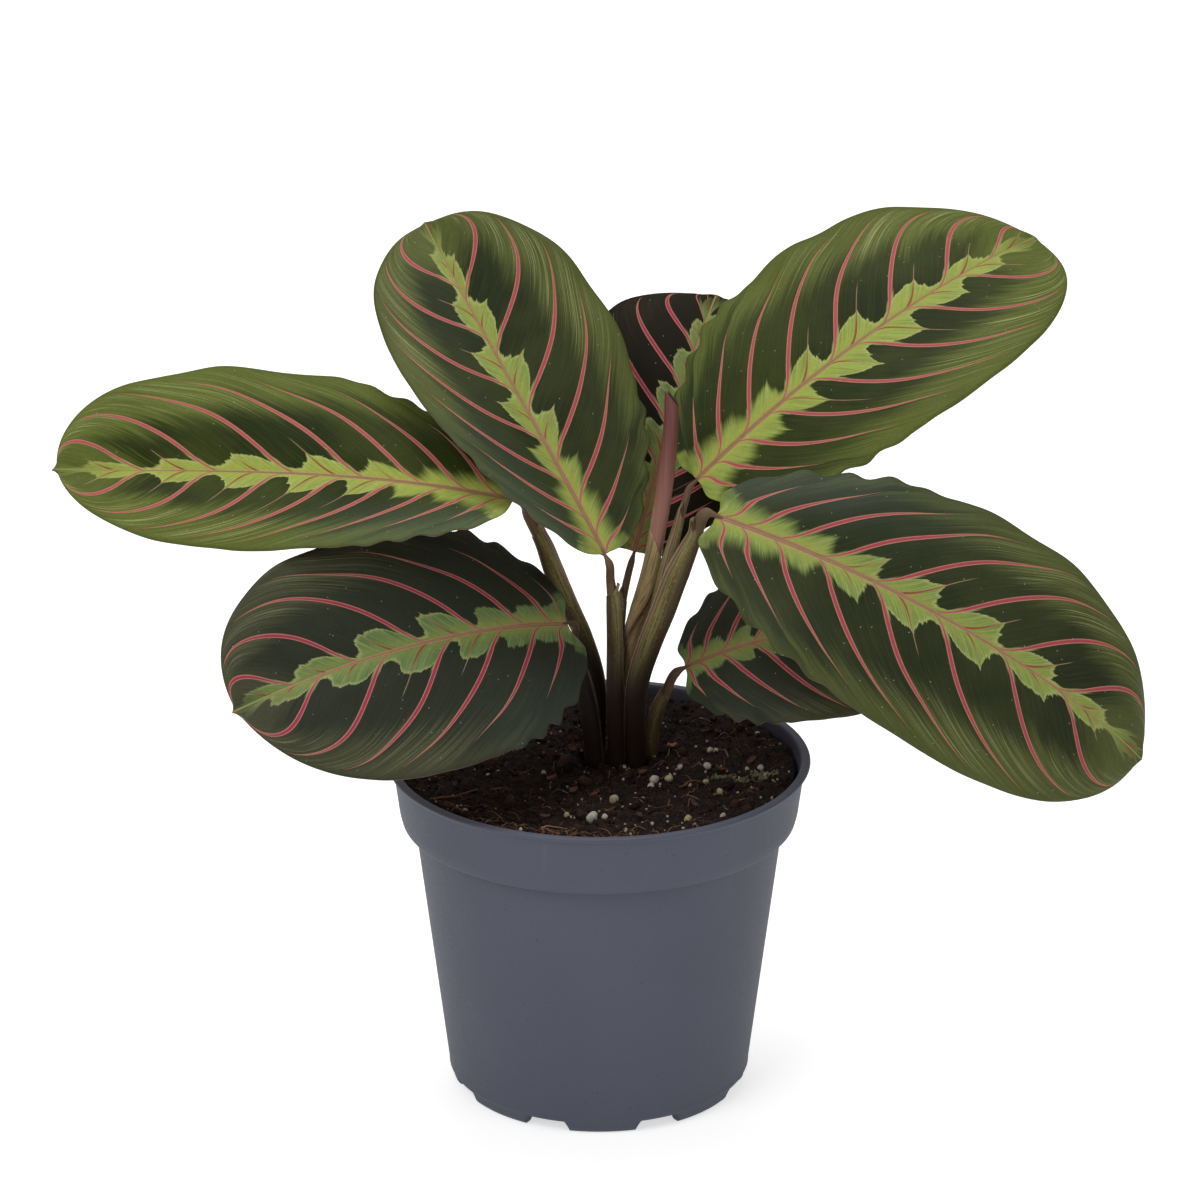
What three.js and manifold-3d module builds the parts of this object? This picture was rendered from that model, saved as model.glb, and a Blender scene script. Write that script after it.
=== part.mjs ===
// A potted prayer plant: seven leaves and one furled new leaf in a round nursery pot.
// Millimetres and degrees, +Z up. The pot's axis is the Z axis, its feet stand on z = 0, and -Y is
// the front, the side that the leaves were seen from.

import * as THREE from "three";
import { mergeVertices } from "three/addons/utils/BufferGeometryUtils.js";
import Module from "manifold-3d";

const wasm = await Module();
wasm.setup();

const DEG = THREE.MathUtils.DEG2RAD;
const GAP = 0.3; // left between pieces that touch on the real plant

// ---------------------------------------------------------------- driving dimensions

const POT = {
  height: 98,
  lipRadius: 60,
  lipThickness: 1.2,
  bandTopRadius: 57.5,
  bandFootRadius: 55.8,
  bandFootHeight: 83,
  stepHeight: 78,
  stepRadius: 51.6,
  heelHeight: 6,
  heelRadius: 43.2,
  footRadius: 40.9,
  footWidth: 3,
  footHeight: 3,
  wall: 1.1,
  baseHeight: 3.2,
  baseThickness: 1.6,
  footCount: 8,
  footTurn: 1.5,
  notchAngle: 19.5,
  notchSlant: 1.5,
  drainCount: 6,
  drainRadius: 3.5,
  drainCircle: 28,
  segments: 48,
};

const SOIL = {
  level: 94.2, // at the pot's axis
  edgeDrop: 1.4, // how much lower it lies at the wall
  crumbHeight: 0.8,
  rings: 8,
  holeDepth: 14, // of the holes that the stalks stand in, below the soil's level
};

const BLADE = {
  thickness: 0.8,
  rows: 20,
  columns: 8,
  baseEnd: 1.6, // half width where the stalk meets it
  drip: 1.5, // the small point at the tip
  ripple: 1.1, // height of the waves along the edge
  scallop: 0.015, // the same waves seen in the outline, as a share of the half width
};

const STALK = {
  sides: 8,
  stepsPerSpan: 2,
  knee: 2.5, // the last stretch, in line with the blade
};

// Each leaf: where its stalk ends and how the blade leaves there (yaw from +X, pitch, roll), its
// length and its half widths left and right of the midrib. droop bends the midrib down from base to
// tip and tipDroop bends it again towards the tip, sweep bends it to the left and twist turns it.
// fold lifts each half from the midrib, cup turns its edge down again. widest is where along the
// midrib the blade is broadest, baseFull and tipFull say how full its two ends are, and lobe is how
// far its base reaches back beside the stalk. waves and phase place the waves along the edge.
// The stalk's points run from the soil to the blade as [x, y, z, radius].
const LEAVES = {
  left: {
    base: [-24, 0, 175], yaw: 174, pitch: 10, roll: -21,
    length: 127, leftWidth: 33.5, rightWidth: 36.5,
    droop: 9, tipDroop: -17, sweep: 21, twist: -9, fold: 14, cup: 14,
    widest: 0.56, baseFull: 1.9, tipFull: 2.1, lobe: 0.5, waves: 4, phase: 0.1,
    stalk: [
      [-0.5, 14.5, 94, 2.2], [-0.5, 18, 113, 2.4], [-4, 19.5, 126, 2.5], [-8.5, 19.5, 136.5, 2.7],
      [-12.5, 17.5, 147, 2.9], [-15.5, 12.5, 157.5, 2.4], [-19.5, 6, 168, 1.4],
    ],
  },
  top_left: {
    base: [1.5, -4, 160.5], yaw: 130, pitch: 46, roll: 2,
    length: 120, leftWidth: 30.5, rightWidth: 34.5,
    droop: 20, tipDroop: 0, sweep: -9, twist: -35, fold: 15, cup: 7,
    widest: 0.52, baseFull: 1.8, tipFull: 2.2, lobe: 1, waves: 4, phase: 0.6,
    stalk: [
      [5, 5, 94, 2.4], [4.5, 3, 118.5, 2.4], [4.5, 1.5, 132.5, 2.3], [4, 0, 144, 2.1],
      [3.2, -1.5, 152, 1.1],
    ],
  },
  back: {
    base: [10, 18.5, 153], yaw: 55, pitch: 63, roll: 20,
    length: 87, leftWidth: 31, rightWidth: 28,
    droop: 41, tipDroop: 5, sweep: 4, twist: 2, fold: 8, cup: 11,
    widest: 0.58, baseFull: 2.3, tipFull: 2.7, lobe: 1.5, waves: 3, phase: 0.3,
    stalk: [
      [4.3, 11.5, 94, 1.4], [5, 10.5, 113, 1.4], [5.5, 11.5, 128, 1.2], [6.5, 13.5, 138.5, 0.9],
      [8, 15.5, 146, 0.9],
    ],
  },
  top_right: {
    base: [27.5, 11, 177], yaw: 11, pitch: 44, roll: 27,
    length: 128, leftWidth: 41.5, rightWidth: 39.5,
    droop: 46, tipDroop: 0, sweep: 15, twist: 5, fold: 8, cup: 11,
    widest: 0.52, baseFull: 2.6, tipFull: 2.2, lobe: 2, waves: 4, phase: 0.8,
    stalk: [
      [10.8, 12.6, 94, 2], [11, 10.5, 114, 2], [14, 9, 130, 2], [16.5, 7.5, 141, 1.9],
      [19, 7, 153, 1.8], [21.5, 7.5, 162, 1.6], [24, 9, 171, 1.4],
    ],
  },
  right: {
    base: [32, -22, 178], yaw: -28, pitch: -9, roll: 42,
    length: 142, leftWidth: 36.5, rightWidth: 35.5,
    droop: 54, tipDroop: 9, sweep: 1, twist: -1, fold: 4, cup: 23,
    widest: 0.58, baseFull: 2, tipFull: 2.1, lobe: 3, waves: 5, phase: 0.45,
    stalk: [
      [10.5, 5.5, 94, 2.7], [11, 1, 119.5, 2.9], [14, -2, 132, 3], [18, -5, 144, 3.2],
      [22, -9, 157, 3.3], [26.5, -14.5, 169.5, 2.2],
    ],
  },
  low_right: {
    base: [24.5, 7.5, 122], yaw: -7, pitch: 29, roll: 34,
    length: 76, leftWidth: 26, rightWidth: 27.5,
    droop: 30, tipDroop: 2, sweep: -24, twist: 15, fold: 6, cup: 15,
    widest: 0.46, baseFull: 2.6, tipFull: 2.4, lobe: 3, waves: 3, phase: 0.2,
    stalk: [[15.2, 11.5, 94, 1.9], [15, 10.5, 106, 1.9], [18.5, 9, 114, 1.7]],
  },
  low_left: {
    base: [-9, 8, 135], yaw: 222, pitch: 14, roll: -45,
    length: 119, leftWidth: 39, rightWidth: 35,
    droop: 22, tipDroop: -12, sweep: 16, twist: 1, fold: 9, cup: 9,
    widest: 0.52, baseFull: 2.4, tipFull: 2.4, lobe: 4, waves: 4, phase: 0.7,
    stalk: [[-1.2, 7, 94, 2.8], [-2.5, 8, 107.5, 2.8], [-4.5, 9.5, 117.5, 2.4], [-7, 11, 127, 1.5]],
  },
};

// The new leaf, still rolled up on its stalk, from the soil to its mouth.
const FURLED = {
  path: [
    [7, 17.5, 94, 2.2], [8, 16.5, 113.5, 2.5], [9, 15, 126, 2.6], [11.5, 12.5, 138, 2.6],
    [14.5, 10.5, 150, 2.5], [17.5, 9, 169, 2.7], [19, 8, 180.5, 2.6], [20, 8, 191.5, 2.4],
    [20.5, 8, 202.5, 1.9],
  ],
  slant: 2.2, // how much higher the flap on its left stands than the other side of the mouth
  mouthRadius: 1.2,
  mouthDepth: 7,
};

// ---------------------------------------------------------------- helpers

/** A geometry as a solid that can be joined and cut. */
function solid(geometry) {
  const bare = geometry.clone();
  bare.deleteAttribute("normal");
  bare.deleteAttribute("uv");
  const merged = mergeVertices(bare, 1e-3);
  return new wasm.Manifold(
    new wasm.Mesh({
      numProp: 3,
      vertProperties: merged.attributes.position.array,
      triVerts: merged.index.array,
    }),
  );
}

/** A solid back as a geometry. */
function geometryOf(body) {
  const { vertProperties, triVerts } = body.getMesh();
  const geometry = new THREE.BufferGeometry();
  geometry.setAttribute("position", new THREE.BufferAttribute(vertProperties, 3));
  geometry.setIndex(new THREE.BufferAttribute(triVerts, 1));
  geometry.computeVertexNormals();
  return geometry;
}

function mesh(name, geometry, color, roughness) {
  const material = new THREE.MeshStandardMaterial({ color, roughness, metalness: 0 });
  const made = new THREE.Mesh(geometry, material);
  made.name = name;
  return made;
}

/** Moves every vertex of a geometry to where place(vertex) puts it. */
function reshape(geometry, place) {
  const { position } = geometry.attributes;
  const vertex = new THREE.Vector3();
  for (let i = 0; i < position.count; i++) {
    const moved = place(vertex.fromBufferAttribute(position, i));
    position.setXYZ(i, moved.x, moved.y, moved.z);
  }
  geometry.computeVertexNormals();
  return geometry;
}

/** A profile of [radius, height] turned about the Z axis. */
function lathe(profile, segments) {
  const points = profile.map(([radius, height]) => new THREE.Vector2(radius, height));
  return new THREE.LatheGeometry(points, segments).rotateX(90 * DEG);
}

// ---------------------------------------------------------------- pot and soil

/** The pot's inner wall from its floor up to a height under the lip, drawn in by a gap. */
function innerWall(top, gap = 0) {
  const inset = POT.wall + gap;
  const wall = [
    [POT.heelRadius - inset - 1, POT.baseHeight + POT.baseThickness + gap],
    [POT.heelRadius - inset, POT.heelHeight + gap],
    [POT.stepRadius - inset, POT.stepHeight + gap],
    [POT.stepRadius - inset + 0.6, POT.stepHeight + 1.4 + gap],
    [POT.bandFootRadius - inset, POT.bandFootHeight + gap],
  ];
  const slope =
    (POT.bandTopRadius - POT.bandFootRadius) / (POT.height - POT.bandFootHeight);
  const topRadius = POT.bandFootRadius - inset + slope * (top - POT.bandFootHeight);
  return [...wall, [topRadius, top]];
}

function potShell() {
  const { height, lipThickness, footRadius, footWidth, baseHeight, baseThickness } = POT;
  const floor = baseHeight + baseThickness;
  const outside = [
    [0, baseHeight],
    [footRadius - footWidth - 0.3, baseHeight],
    [footRadius - footWidth, 0],
    [footRadius, 0],
    [footRadius + 1.2, 1.4],
    [POT.heelRadius - 0.4, 3.6],
    [POT.heelRadius, POT.heelHeight],
    [POT.stepRadius, POT.stepHeight],
    [POT.stepRadius + 2.2, POT.stepHeight + 0.9],
    [POT.bandFootRadius - 0.7, POT.bandFootHeight - 2.6],
    [POT.bandFootRadius, POT.bandFootHeight],
    [POT.bandTopRadius, height - lipThickness - 0.6],
    [POT.lipRadius - 0.3, height - lipThickness],
    [POT.lipRadius, height - lipThickness / 2],
    [POT.lipRadius - 0.3, height],
  ];
  const inside = innerWall(height - 0.8).reverse();
  const [mouthRadius] = inside[0];
  const profile = [...outside, [mouthRadius + 0.5, height], ...inside, [0, floor]];
  let body = solid(lathe(profile, POT.segments));
  for (let i = 0; i < POT.footCount; i++) {
    const turn = (360 / POT.footCount) * (i + 0.5) + POT.footTurn;
    body = body.subtract(solid(footNotch().rotateZ((turn - 90) * DEG)));
  }
  for (let i = 0; i < POT.drainCount; i++) {
    const hole = new THREE.CylinderGeometry(POT.drainRadius, POT.drainRadius, 6, 12);
    hole.rotateX(90 * DEG).translate(POT.drainCircle, 0, floor - 1);
    body = body.subtract(solid(hole.rotateZ((360 / POT.drainCount) * i * DEG)));
  }
  return geometryOf(body);
}

/** The gap between two feet, wider at the ground, cut along +X. */
function footNotch() {
  const half = POT.footRadius * Math.sin((POT.notchAngle / 2) * DEG);
  const outline = new THREE.Shape([
    new THREE.Vector2(-half - POT.notchSlant, -1),
    new THREE.Vector2(half + POT.notchSlant, -1),
    new THREE.Vector2(half - POT.notchSlant / 2, POT.footHeight),
    new THREE.Vector2(-half + POT.notchSlant / 2, POT.footHeight),
  ]);
  const depth = 12;
  const notch = new THREE.ExtrudeGeometry(outline, { depth, bevelEnabled: false });
  return notch.rotateX(90 * DEG).rotateZ(90 * DEG).translate(POT.footRadius - depth / 2, 0, 0);
}

/** Height of the soil's surface. */
function soilHeight(x, y) {
  const crumbs =
    0.5 * Math.sin(0.21 * x + 1) * Math.cos(0.17 * y) +
    0.3 * Math.sin(0.43 * x - 0.31 * y + 2) +
    0.2 * Math.sin(0.77 * y + 0.52 * x);
  const share = (x * x + y * y) / (POT.bandTopRadius * POT.bandTopRadius);
  return SOIL.level - SOIL.edgeDrop * share * share + SOIL.crumbHeight * crumbs;
}

function soilBody(holes) {
  const wall = innerWall(SOIL.level - SOIL.edgeDrop - 1, GAP);
  const profile = [[0, wall[0][1]], ...wall];
  for (let ring = SOIL.rings - 1; ring >= 0; ring--) {
    profile.push([(wall.at(-1)[0] * ring) / (SOIL.rings - 0.5), SOIL.level]);
  }
  const bumpy = reshape(lathe(profile, POT.segments), (v) => {
    if (v.z === Math.fround(SOIL.level)) v.z = soilHeight(v.x, v.y);
    return v;
  });
  return geometryOf(holes.reduce((body, hole) => body.subtract(solid(hole)), solid(bumpy)));
}

// ---------------------------------------------------------------- leaves

/** The midrib as evenly spaced frames: X along it, Y to its left, Z up from the blade. */
function midrib(leaf) {
  const count = 60;
  const turn = new THREE.Quaternion().setFromEuler(
    new THREE.Euler(leaf.roll * DEG, -leaf.pitch * DEG, leaf.yaw * DEG, "ZYX"),
  );
  const origin = new THREE.Vector3(...leaf.base);
  const frames = [{ origin: origin.clone(), turn: turn.clone() }];
  for (let i = 0; i < count; i++) {
    const s = (i + 0.5) / count;
    const bend = leaf.droop + 3 * leaf.tipDroop * s * s;
    const spin = new THREE.Vector3(leaf.twist, bend, leaf.sweep).multiplyScalar(DEG / count);
    const angle = spin.length();
    spin.normalize();
    turn.multiply(new THREE.Quaternion().setFromAxisAngle(spin, angle / 2));
    origin.add(new THREE.Vector3(leaf.length / count, 0, 0).applyQuaternion(turn));
    turn.multiply(new THREE.Quaternion().setFromAxisAngle(spin, angle / 2));
    frames.push({ origin: origin.clone(), turn: turn.clone() });
  }
  return frames;
}

/** The frame at a share s of the midrib's length. */
function frameAt(frames, s) {
  const last = frames.length - 1;
  const i = Math.min(Math.floor(s * last), last - 1);
  const part = s * last - i;
  return {
    origin: frames[i].origin.clone().lerp(frames[i + 1].origin, part),
    turn: frames[i].turn.clone().slerp(frames[i + 1].turn, part),
  };
}

/** The blade's half width at s as a share of its greatest. */
function widthShare(leaf, s) {
  const { widest, baseFull, tipFull } = leaf;
  return s < widest
    ? Math.sqrt(1 - ((widest - s) / widest) ** baseFull)
    : Math.sqrt(Math.max(0, 1 - ((s - widest) / (1 - widest)) ** tipFull));
}

/** A point of the blade: s from base to tip, t from -1 at the right edge to 1 at the left edge. */
function bladePoint(leaf, frames, s, t, above) {
  const side = Math.sign(t);
  const edge = Math.abs(t);
  const share = widthShare(leaf, s);
  const wave = Math.sin(2 * Math.PI * (leaf.waves * s + leaf.phase + 0.37 * side));
  const half = Math.max(
    (side > 0 ? leaf.leftWidth : leaf.rightWidth) * share * (1 + BLADE.scallop * wave),
    BLADE.baseEnd * (1 - s),
  );
  const tilt = (leaf.fold - (leaf.cup / 2) * edge) * DEG;
  const besideStalk = THREE.MathUtils.smoothstep(edge * half, 1.5, 9);
  const local = new THREE.Vector3(
    BLADE.drip * s ** 30 * (1 - edge) ** 2 - leaf.lobe * (1 - s) ** 8 * besideStalk,
    side * edge * half * Math.cos(tilt),
    edge * half * Math.sin(tilt) + BLADE.ripple * wave * edge ** 3 * share + above,
  );
  const { origin, turn } = frameAt(frames, s);
  return local.applyQuaternion(turn).add(origin);
}

/** A thin closed blade: the same grid for both faces, joined by a strip around the edge. */
function bladeGeometry(leaf) {
  const { rows, columns, thickness } = BLADE;
  const frames = midrib(leaf);
  const face = (above) =>
    reshape(new THREE.PlaneGeometry(2, 1, columns, rows), ({ x, y }) => {
      const s = 0.0003 + 0.9994 * (0.5 + 0.5 * Math.sin(Math.PI * y));
      return bladePoint(leaf, frames, s, -x, above);
    });
  const [top, under] = [face(thickness / 2), face(-thickness / 2)];
  const count = top.attributes.position.count;
  const index = [...top.index.array];
  for (let i = 0; i < under.index.count; i += 3) {
    const [a, b, c] = under.index.array.slice(i, i + 3);
    index.push(a + count, c + count, b + count);
  }
  const rim = [];
  for (let i = 0; i < columns; i++) rim.push(rows * (columns + 1) + i);
  for (let i = rows; i > 0; i--) rim.push(i * (columns + 1) + columns);
  for (let i = columns; i > 0; i--) rim.push(i);
  for (let i = 0; i < rows; i++) rim.push(i * (columns + 1));
  rim.forEach((p, i) => {
    const q = rim[(i + 1) % rim.length];
    index.push(q, p, p + count, q, p + count, q + count);
  });
  const geometry = new THREE.BufferGeometry();
  const points = [...top.attributes.position.array, ...under.attributes.position.array];
  geometry.setAttribute("position", new THREE.Float32BufferAttribute(points, 3));
  geometry.setIndex(index);
  geometry.computeVertexNormals();
  return geometry;
}

// ---------------------------------------------------------------- stalks

/** A closed tapered rod through [x, y, z, radius] points. */
function rod(points, extraRadius = 0) {
  const curve = new THREE.CatmullRomCurve3(
    points.map(([x, y, z]) => new THREE.Vector3(x, y, z)),
    false,
    "centripetal",
  );
  const spans = points.length - 1;
  const straight = new THREE.CylinderGeometry(1, 1, 1, STALK.sides, spans * STALK.stepsPerSpan);
  return reshape(straight, (v) => {
    const u = v.y + 0.5;
    const i = Math.min(Math.floor(u * spans), spans - 1);
    const radius =
      THREE.MathUtils.lerp(points[i][3], points[i + 1][3], u * spans - i) + extraRadius;
    const along = curve.getTangent(u);
    const side = new THREE.Vector3(1, 0, 0).addScaledVector(along, -along.x).normalize();
    const back = new THREE.Vector3().crossVectors(side, along);
    return curve.getPoint(u).addScaledVector(side, v.x * radius).addScaledVector(back, v.z * radius);
  });
}

/** A stalk's points with its foot in the soil, below them. */
function planted(points, deeper = 0) {
  const [x, y, z, radius] = points[0];
  return [[x, y, z - SOIL.holeDepth - deeper, radius * 0.9], ...points];
}

/** A leaf's stalk points up to the blade, with the last stretch in line with it. */
function stalkPoints(leaf) {
  const { origin, turn } = midrib(leaf)[0];
  const along = new THREE.Vector3(1, 0, 0).applyQuaternion(turn);
  const behind = (distance) => origin.clone().addScaledVector(along, -distance).toArray();
  const radius = leaf.stalk.at(-1)[3] * 0.8;
  return [...leaf.stalk, [...behind(STALK.knee + GAP), radius], [...behind(GAP), radius]];
}

function furledLeaf() {
  const points = planted(FURLED.path);
  const [x, y, z, radius] = points.at(-1);
  const slanted = reshape(rod(points), (v) => {
    const near = THREE.MathUtils.smoothstep(v.z, z - 12, z);
    v.z += (near * FURLED.slant * (x - v.x)) / radius;
    return v;
  });
  const mouth = new THREE.ConeGeometry(FURLED.mouthRadius, FURLED.mouthDepth, STALK.sides);
  mouth.rotateX(-90 * DEG).translate(x, y, z - FURLED.mouthDepth / 2 + FURLED.slant / 2);
  return geometryOf(solid(slanted).subtract(solid(mouth)));
}

// ---------------------------------------------------------------- the plant

const group = new THREE.Group();
const holes = [rod(planted(FURLED.path, GAP).slice(0, 3), GAP)];

for (const [name, leaf] of Object.entries(LEAVES)) {
  const points = stalkPoints(leaf);
  holes.push(rod(planted(points, GAP).slice(0, 3), GAP));
  group.add(mesh(`stalk_${name}`, rod(planted(points)), 0x5f5037, 0.5));
  group.add(mesh(`blade_${name}`, bladeGeometry(leaf), 0x3c5a2c, 0.45));
}
group.add(mesh("furled_leaf", furledLeaf(), 0x7a4a4a, 0.5));
group.add(mesh("soil", soilBody(holes), 0x1e1410, 1));
group.add(mesh("pot", potShell(), 0x585c68, 0.6));

export default group;
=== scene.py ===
"""Looks of a potted prayer plant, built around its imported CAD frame.

The settings and the finished meshes are in metres. Shapes are worked out in millimetres, with +Z
up, the pot's axis on the Z axis and -Y at the front.
"""

import math
import random
from functools import lru_cache

import bmesh
import bpy
from bpy.props import FloatProperty, FloatVectorProperty, IntProperty, PointerProperty
from mathutils import Euler, Matrix, Quaternion, Vector, noise


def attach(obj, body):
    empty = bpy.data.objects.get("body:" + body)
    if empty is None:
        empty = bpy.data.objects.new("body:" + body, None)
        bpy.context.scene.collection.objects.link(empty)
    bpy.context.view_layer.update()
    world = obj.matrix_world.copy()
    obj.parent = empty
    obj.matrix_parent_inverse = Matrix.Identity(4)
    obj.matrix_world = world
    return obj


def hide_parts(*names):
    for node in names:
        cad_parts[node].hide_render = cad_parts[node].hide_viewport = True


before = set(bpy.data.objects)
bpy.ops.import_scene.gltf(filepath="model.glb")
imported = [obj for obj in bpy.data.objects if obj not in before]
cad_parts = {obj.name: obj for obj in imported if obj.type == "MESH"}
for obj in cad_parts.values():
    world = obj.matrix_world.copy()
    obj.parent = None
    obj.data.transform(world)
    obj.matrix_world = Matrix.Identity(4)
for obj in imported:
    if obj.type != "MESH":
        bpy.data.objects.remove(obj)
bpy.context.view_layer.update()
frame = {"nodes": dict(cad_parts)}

bl_info = {
    "name": "Potted prayer plant",
    "version": (1, 0, 0),
    "blender": (4, 5, 0),
    "location": "3D View > Sidebar > Plant",
    "description": "Builds the looks of a potted prayer plant around its CAD frame",
    "category": "Add Mesh",
}

MM = 0.001
GAP = 0.3


def tint(red, green, blue):
    """A colour given as 0 to 255 screen values, in Blender's linear values."""
    shares = (red / 255, green / 255, blue / 255)
    return tuple(c / 12.92 if c < 0.04045 else ((c + 0.055) / 1.055) ** 2.4 for c in shares)


# ---------------------------------------------------------------- the leaves' forms

# base is where the stalk meets the blade; yaw, pitch and roll say how the blade leaves there. droop,
# tip_droop, sweep and twist bend the midrib, fold lifts each half from it and cup turns the edge
# down again. widest, base_full, tip_full and lobe shape the outline. waves and phase place the waves
# of the edge. veins_left and veins_right say how many side veins start on that side, where their
# count starts, how far they lean towards the tip and how wide the pale band is. hook turns the
# veins to the tip near the edge. tone runs from 0, a dark leaf with crimson veins, to 1, a fresh
# yellow green one. The key after tone is how much painted sheen the blade has near its base: a grey
# painted reflection of the bright studio. brown is how far its greens are dulled to a dark brown,
# partly the leaf's own browning and partly painted shade, for a leaf that lies behind the others.
# The stalk's points run from the soil to the blade as x, y, z and radius. sheath is the share of the
# stalk that is folded, and seam the direction, in degrees, that the edge of the fold faces.
LEAVES = {
    "left": dict(
        base=(-24, 0, 175), yaw=174, pitch=10, roll=-21,
        length=127, left_width=33.5, right_width=36.5,
        droop=9, tip_droop=-17, sweep=21, twist=-9, fold=14, cup=14,
        widest=0.56, base_full=1.9, tip_full=2.1, lobe=0.5, waves=4, phase=0.1,
        veins_left=(9.0, 0.6, 0.15, 1.3), veins_right=(7.9, 1.55, 0.25, 0.8), hook=0.4,
        tone=1.0, painted_sheen=1.0, brown=0.0,
        stalk=(
            (-0.5, 14.5, 94, 2.2), (-0.5, 18, 113, 2.4), (-4, 19.5, 126, 2.5),
            (-8.5, 19.5, 136.5, 2.7), (-12.5, 17.5, 147, 2.9), (-15.5, 12.5, 157.5, 2.5),
            (-19.5, 6, 168, 2.0),
        ),
        sheath=0.73, seam=-20,
    ),
    "top_left": dict(
        base=(1.5, -4, 160.5), yaw=130, pitch=46, roll=2,
        length=120, left_width=30.5, right_width=34.5,
        droop=20, tip_droop=0, sweep=-9, twist=-35, fold=15, cup=7,
        widest=0.52, base_full=1.8, tip_full=2.2, lobe=1, waves=4, phase=0.6,
        veins_left=(8.0, -1.35, 0.16, 0.95), veins_right=(7.4, -0.6, 0.24, 0.9), hook=0.4,
        tone=0.6, painted_sheen=1.0, brown=0.0,
        stalk=(
            (5, 5, 94, 2.4), (4.5, 3, 118.5, 2.4), (4.5, 1.5, 132.5, 2.3), (4, 0, 144, 2.0),
            (3.2, -1.5, 152, 1.6),
        ),
        sheath=0.65, seam=-20,
    ),
    "back": dict(
        base=(10, 18.5, 153), yaw=55, pitch=63, roll=20,
        length=87, left_width=31, right_width=28,
        droop=41, tip_droop=5, sweep=4, twist=2, fold=8, cup=11,
        widest=0.58, base_full=2.3, tip_full=2.7, lobe=1.5, waves=3, phase=0.3,
        veins_left=(8.6, 0.5, 0.3, 0.9), veins_right=(8.6, 0.2, 0.24, 0.9), hook=0.3,
        # the back leaf lies behind the others: its brown is partly its own colour and partly painted shade
        tone=0.0, painted_sheen=0.0, brown=0.85,
        stalk=(
            (4.3, 11.5, 94, 1.4), (5, 10.5, 113, 1.4), (5.5, 11.5, 128, 1.5),
            (6.5, 13.5, 138.5, 1.5), (8, 15.5, 146, 1.4),
        ),
        sheath=0.62, seam=-120,
    ),
    "top_right": dict(
        base=(27.5, 11, 177), yaw=11, pitch=44, roll=27,
        length=128, left_width=41.5, right_width=39.5,
        droop=46, tip_droop=0, sweep=15, twist=5, fold=8, cup=11,
        widest=0.52, base_full=2.6, tip_full=2.2, lobe=2, waves=4, phase=0.8,
        veins_left=(8.2, -0.05, 0.24, 1.1), veins_right=(9.0, -1.05, 0.15, 1.55), hook=0.35,
        tone=0.85, painted_sheen=0.2, brown=0.0,
        stalk=(
            (10.8, 12.6, 94, 2), (11, 10.5, 114, 2), (14, 9, 130, 2), (16.5, 7.5, 141, 1.9),
            (19, 7, 153, 1.8), (21.5, 7.5, 162, 1.6), (24, 9, 171, 1.4),
        ),
        sheath=0.74, seam=-110,
    ),
    "right": dict(
        base=(32, -22, 178), yaw=-28, pitch=-9, roll=42,
        length=142, left_width=36.5, right_width=35.5,
        droop=54, tip_droop=9, sweep=1, twist=-1, fold=4, cup=23,
        widest=0.58, base_full=2, tip_full=2.1, lobe=4.5, waves=5, phase=0.45,
        veins_left=(9.3, -1.3, 0.23, 1.0), veins_right=(9.0, -1.1, 0.16, 1.0), hook=0.3,
        tone=0.45, painted_sheen=0.8, brown=0.0,
        stalk=(
            (10.5, 5.5, 94, 2.7), (11, 1, 119.5, 3.1), (14, -2, 132, 3.3), (18, -5, 144, 3.4),
            (22, -9, 157, 3.3), (26.5, -14.5, 169.5, 2.2),
        ),
        sheath=0.8, seam=-165,
    ),
    "low_right": dict(
        base=(24.5, 7.5, 122), yaw=-7, pitch=29, roll=34,
        length=76, left_width=26, right_width=27.5,
        droop=30, tip_droop=2, sweep=-24, twist=15, fold=6, cup=15,
        widest=0.46, base_full=2.6, tip_full=2.4, lobe=3, waves=3, phase=0.2,
        veins_left=(7.6, 0.1, 0.2, 0.85), veins_right=(7.0, 0.45, 0.26, 0.85), hook=0.3,
        tone=0.05, painted_sheen=0.5, brown=0.0,
        stalk=((15.2, 11.5, 94, 1.9), (15.8, 10.5, 105, 2.0), (19, 9, 114, 1.8)),
        sheath=0.6, seam=-150,
    ),
    "low_left": dict(
        base=(-9, 8, 135), yaw=222, pitch=14, roll=-45,
        length=119, left_width=39, right_width=35,
        droop=22, tip_droop=-12, sweep=16, twist=1, fold=9, cup=9,
        widest=0.52, base_full=2.4, tip_full=2.4, lobe=4, waves=4, phase=0.7,
        veins_left=(6.6, 2.1, 0.33, 1.1), veins_right=(6.6, 0.65, 0.25, 1.0), hook=0.6,
        tone=0.0, painted_sheen=0.9, brown=0.0,
        stalk=(
            (-1.2, 7, 94, 2.8), (-2.5, 8, 107.5, 2.8), (-4.5, 9.5, 117.5, 2.4), (-7, 11, 127, 1.5),
        ),
        sheath=0.6, seam=-30,
    ),
}

# The new leaf, still rolled up on its stalk: x, y, z and radius from the soil to its mouth.
FURLED_PATH = (
    (7, 17.5, 94, 2.2), (8, 16.5, 113.5, 2.5), (9, 15, 126, 2.7), (11.9, 12.5, 138, 2.9),
    (14.5, 10.5, 150, 2.5), (17.5, 9, 169, 2.7), (19, 8, 180.5, 2.6), (20, 8, 191.5, 2.4),
    (20.5, 8, 202.5, 1.9),
)
SHEATH_TOP = 158.0

BASE_END = 1.6
DRIP = 1.5
RIPPLE = 0.6
SCALLOP = 0.008
RUFFLE = 0.042
RUFFLES = 13
MIDRIB_STEPS = 60
KNEE = 2.5
HOLE_DEPTH = 14

VEIN_POWER = 0.535
VEIN_CROWD = 0.8


# ---------------------------------------------------------------- settings


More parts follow.
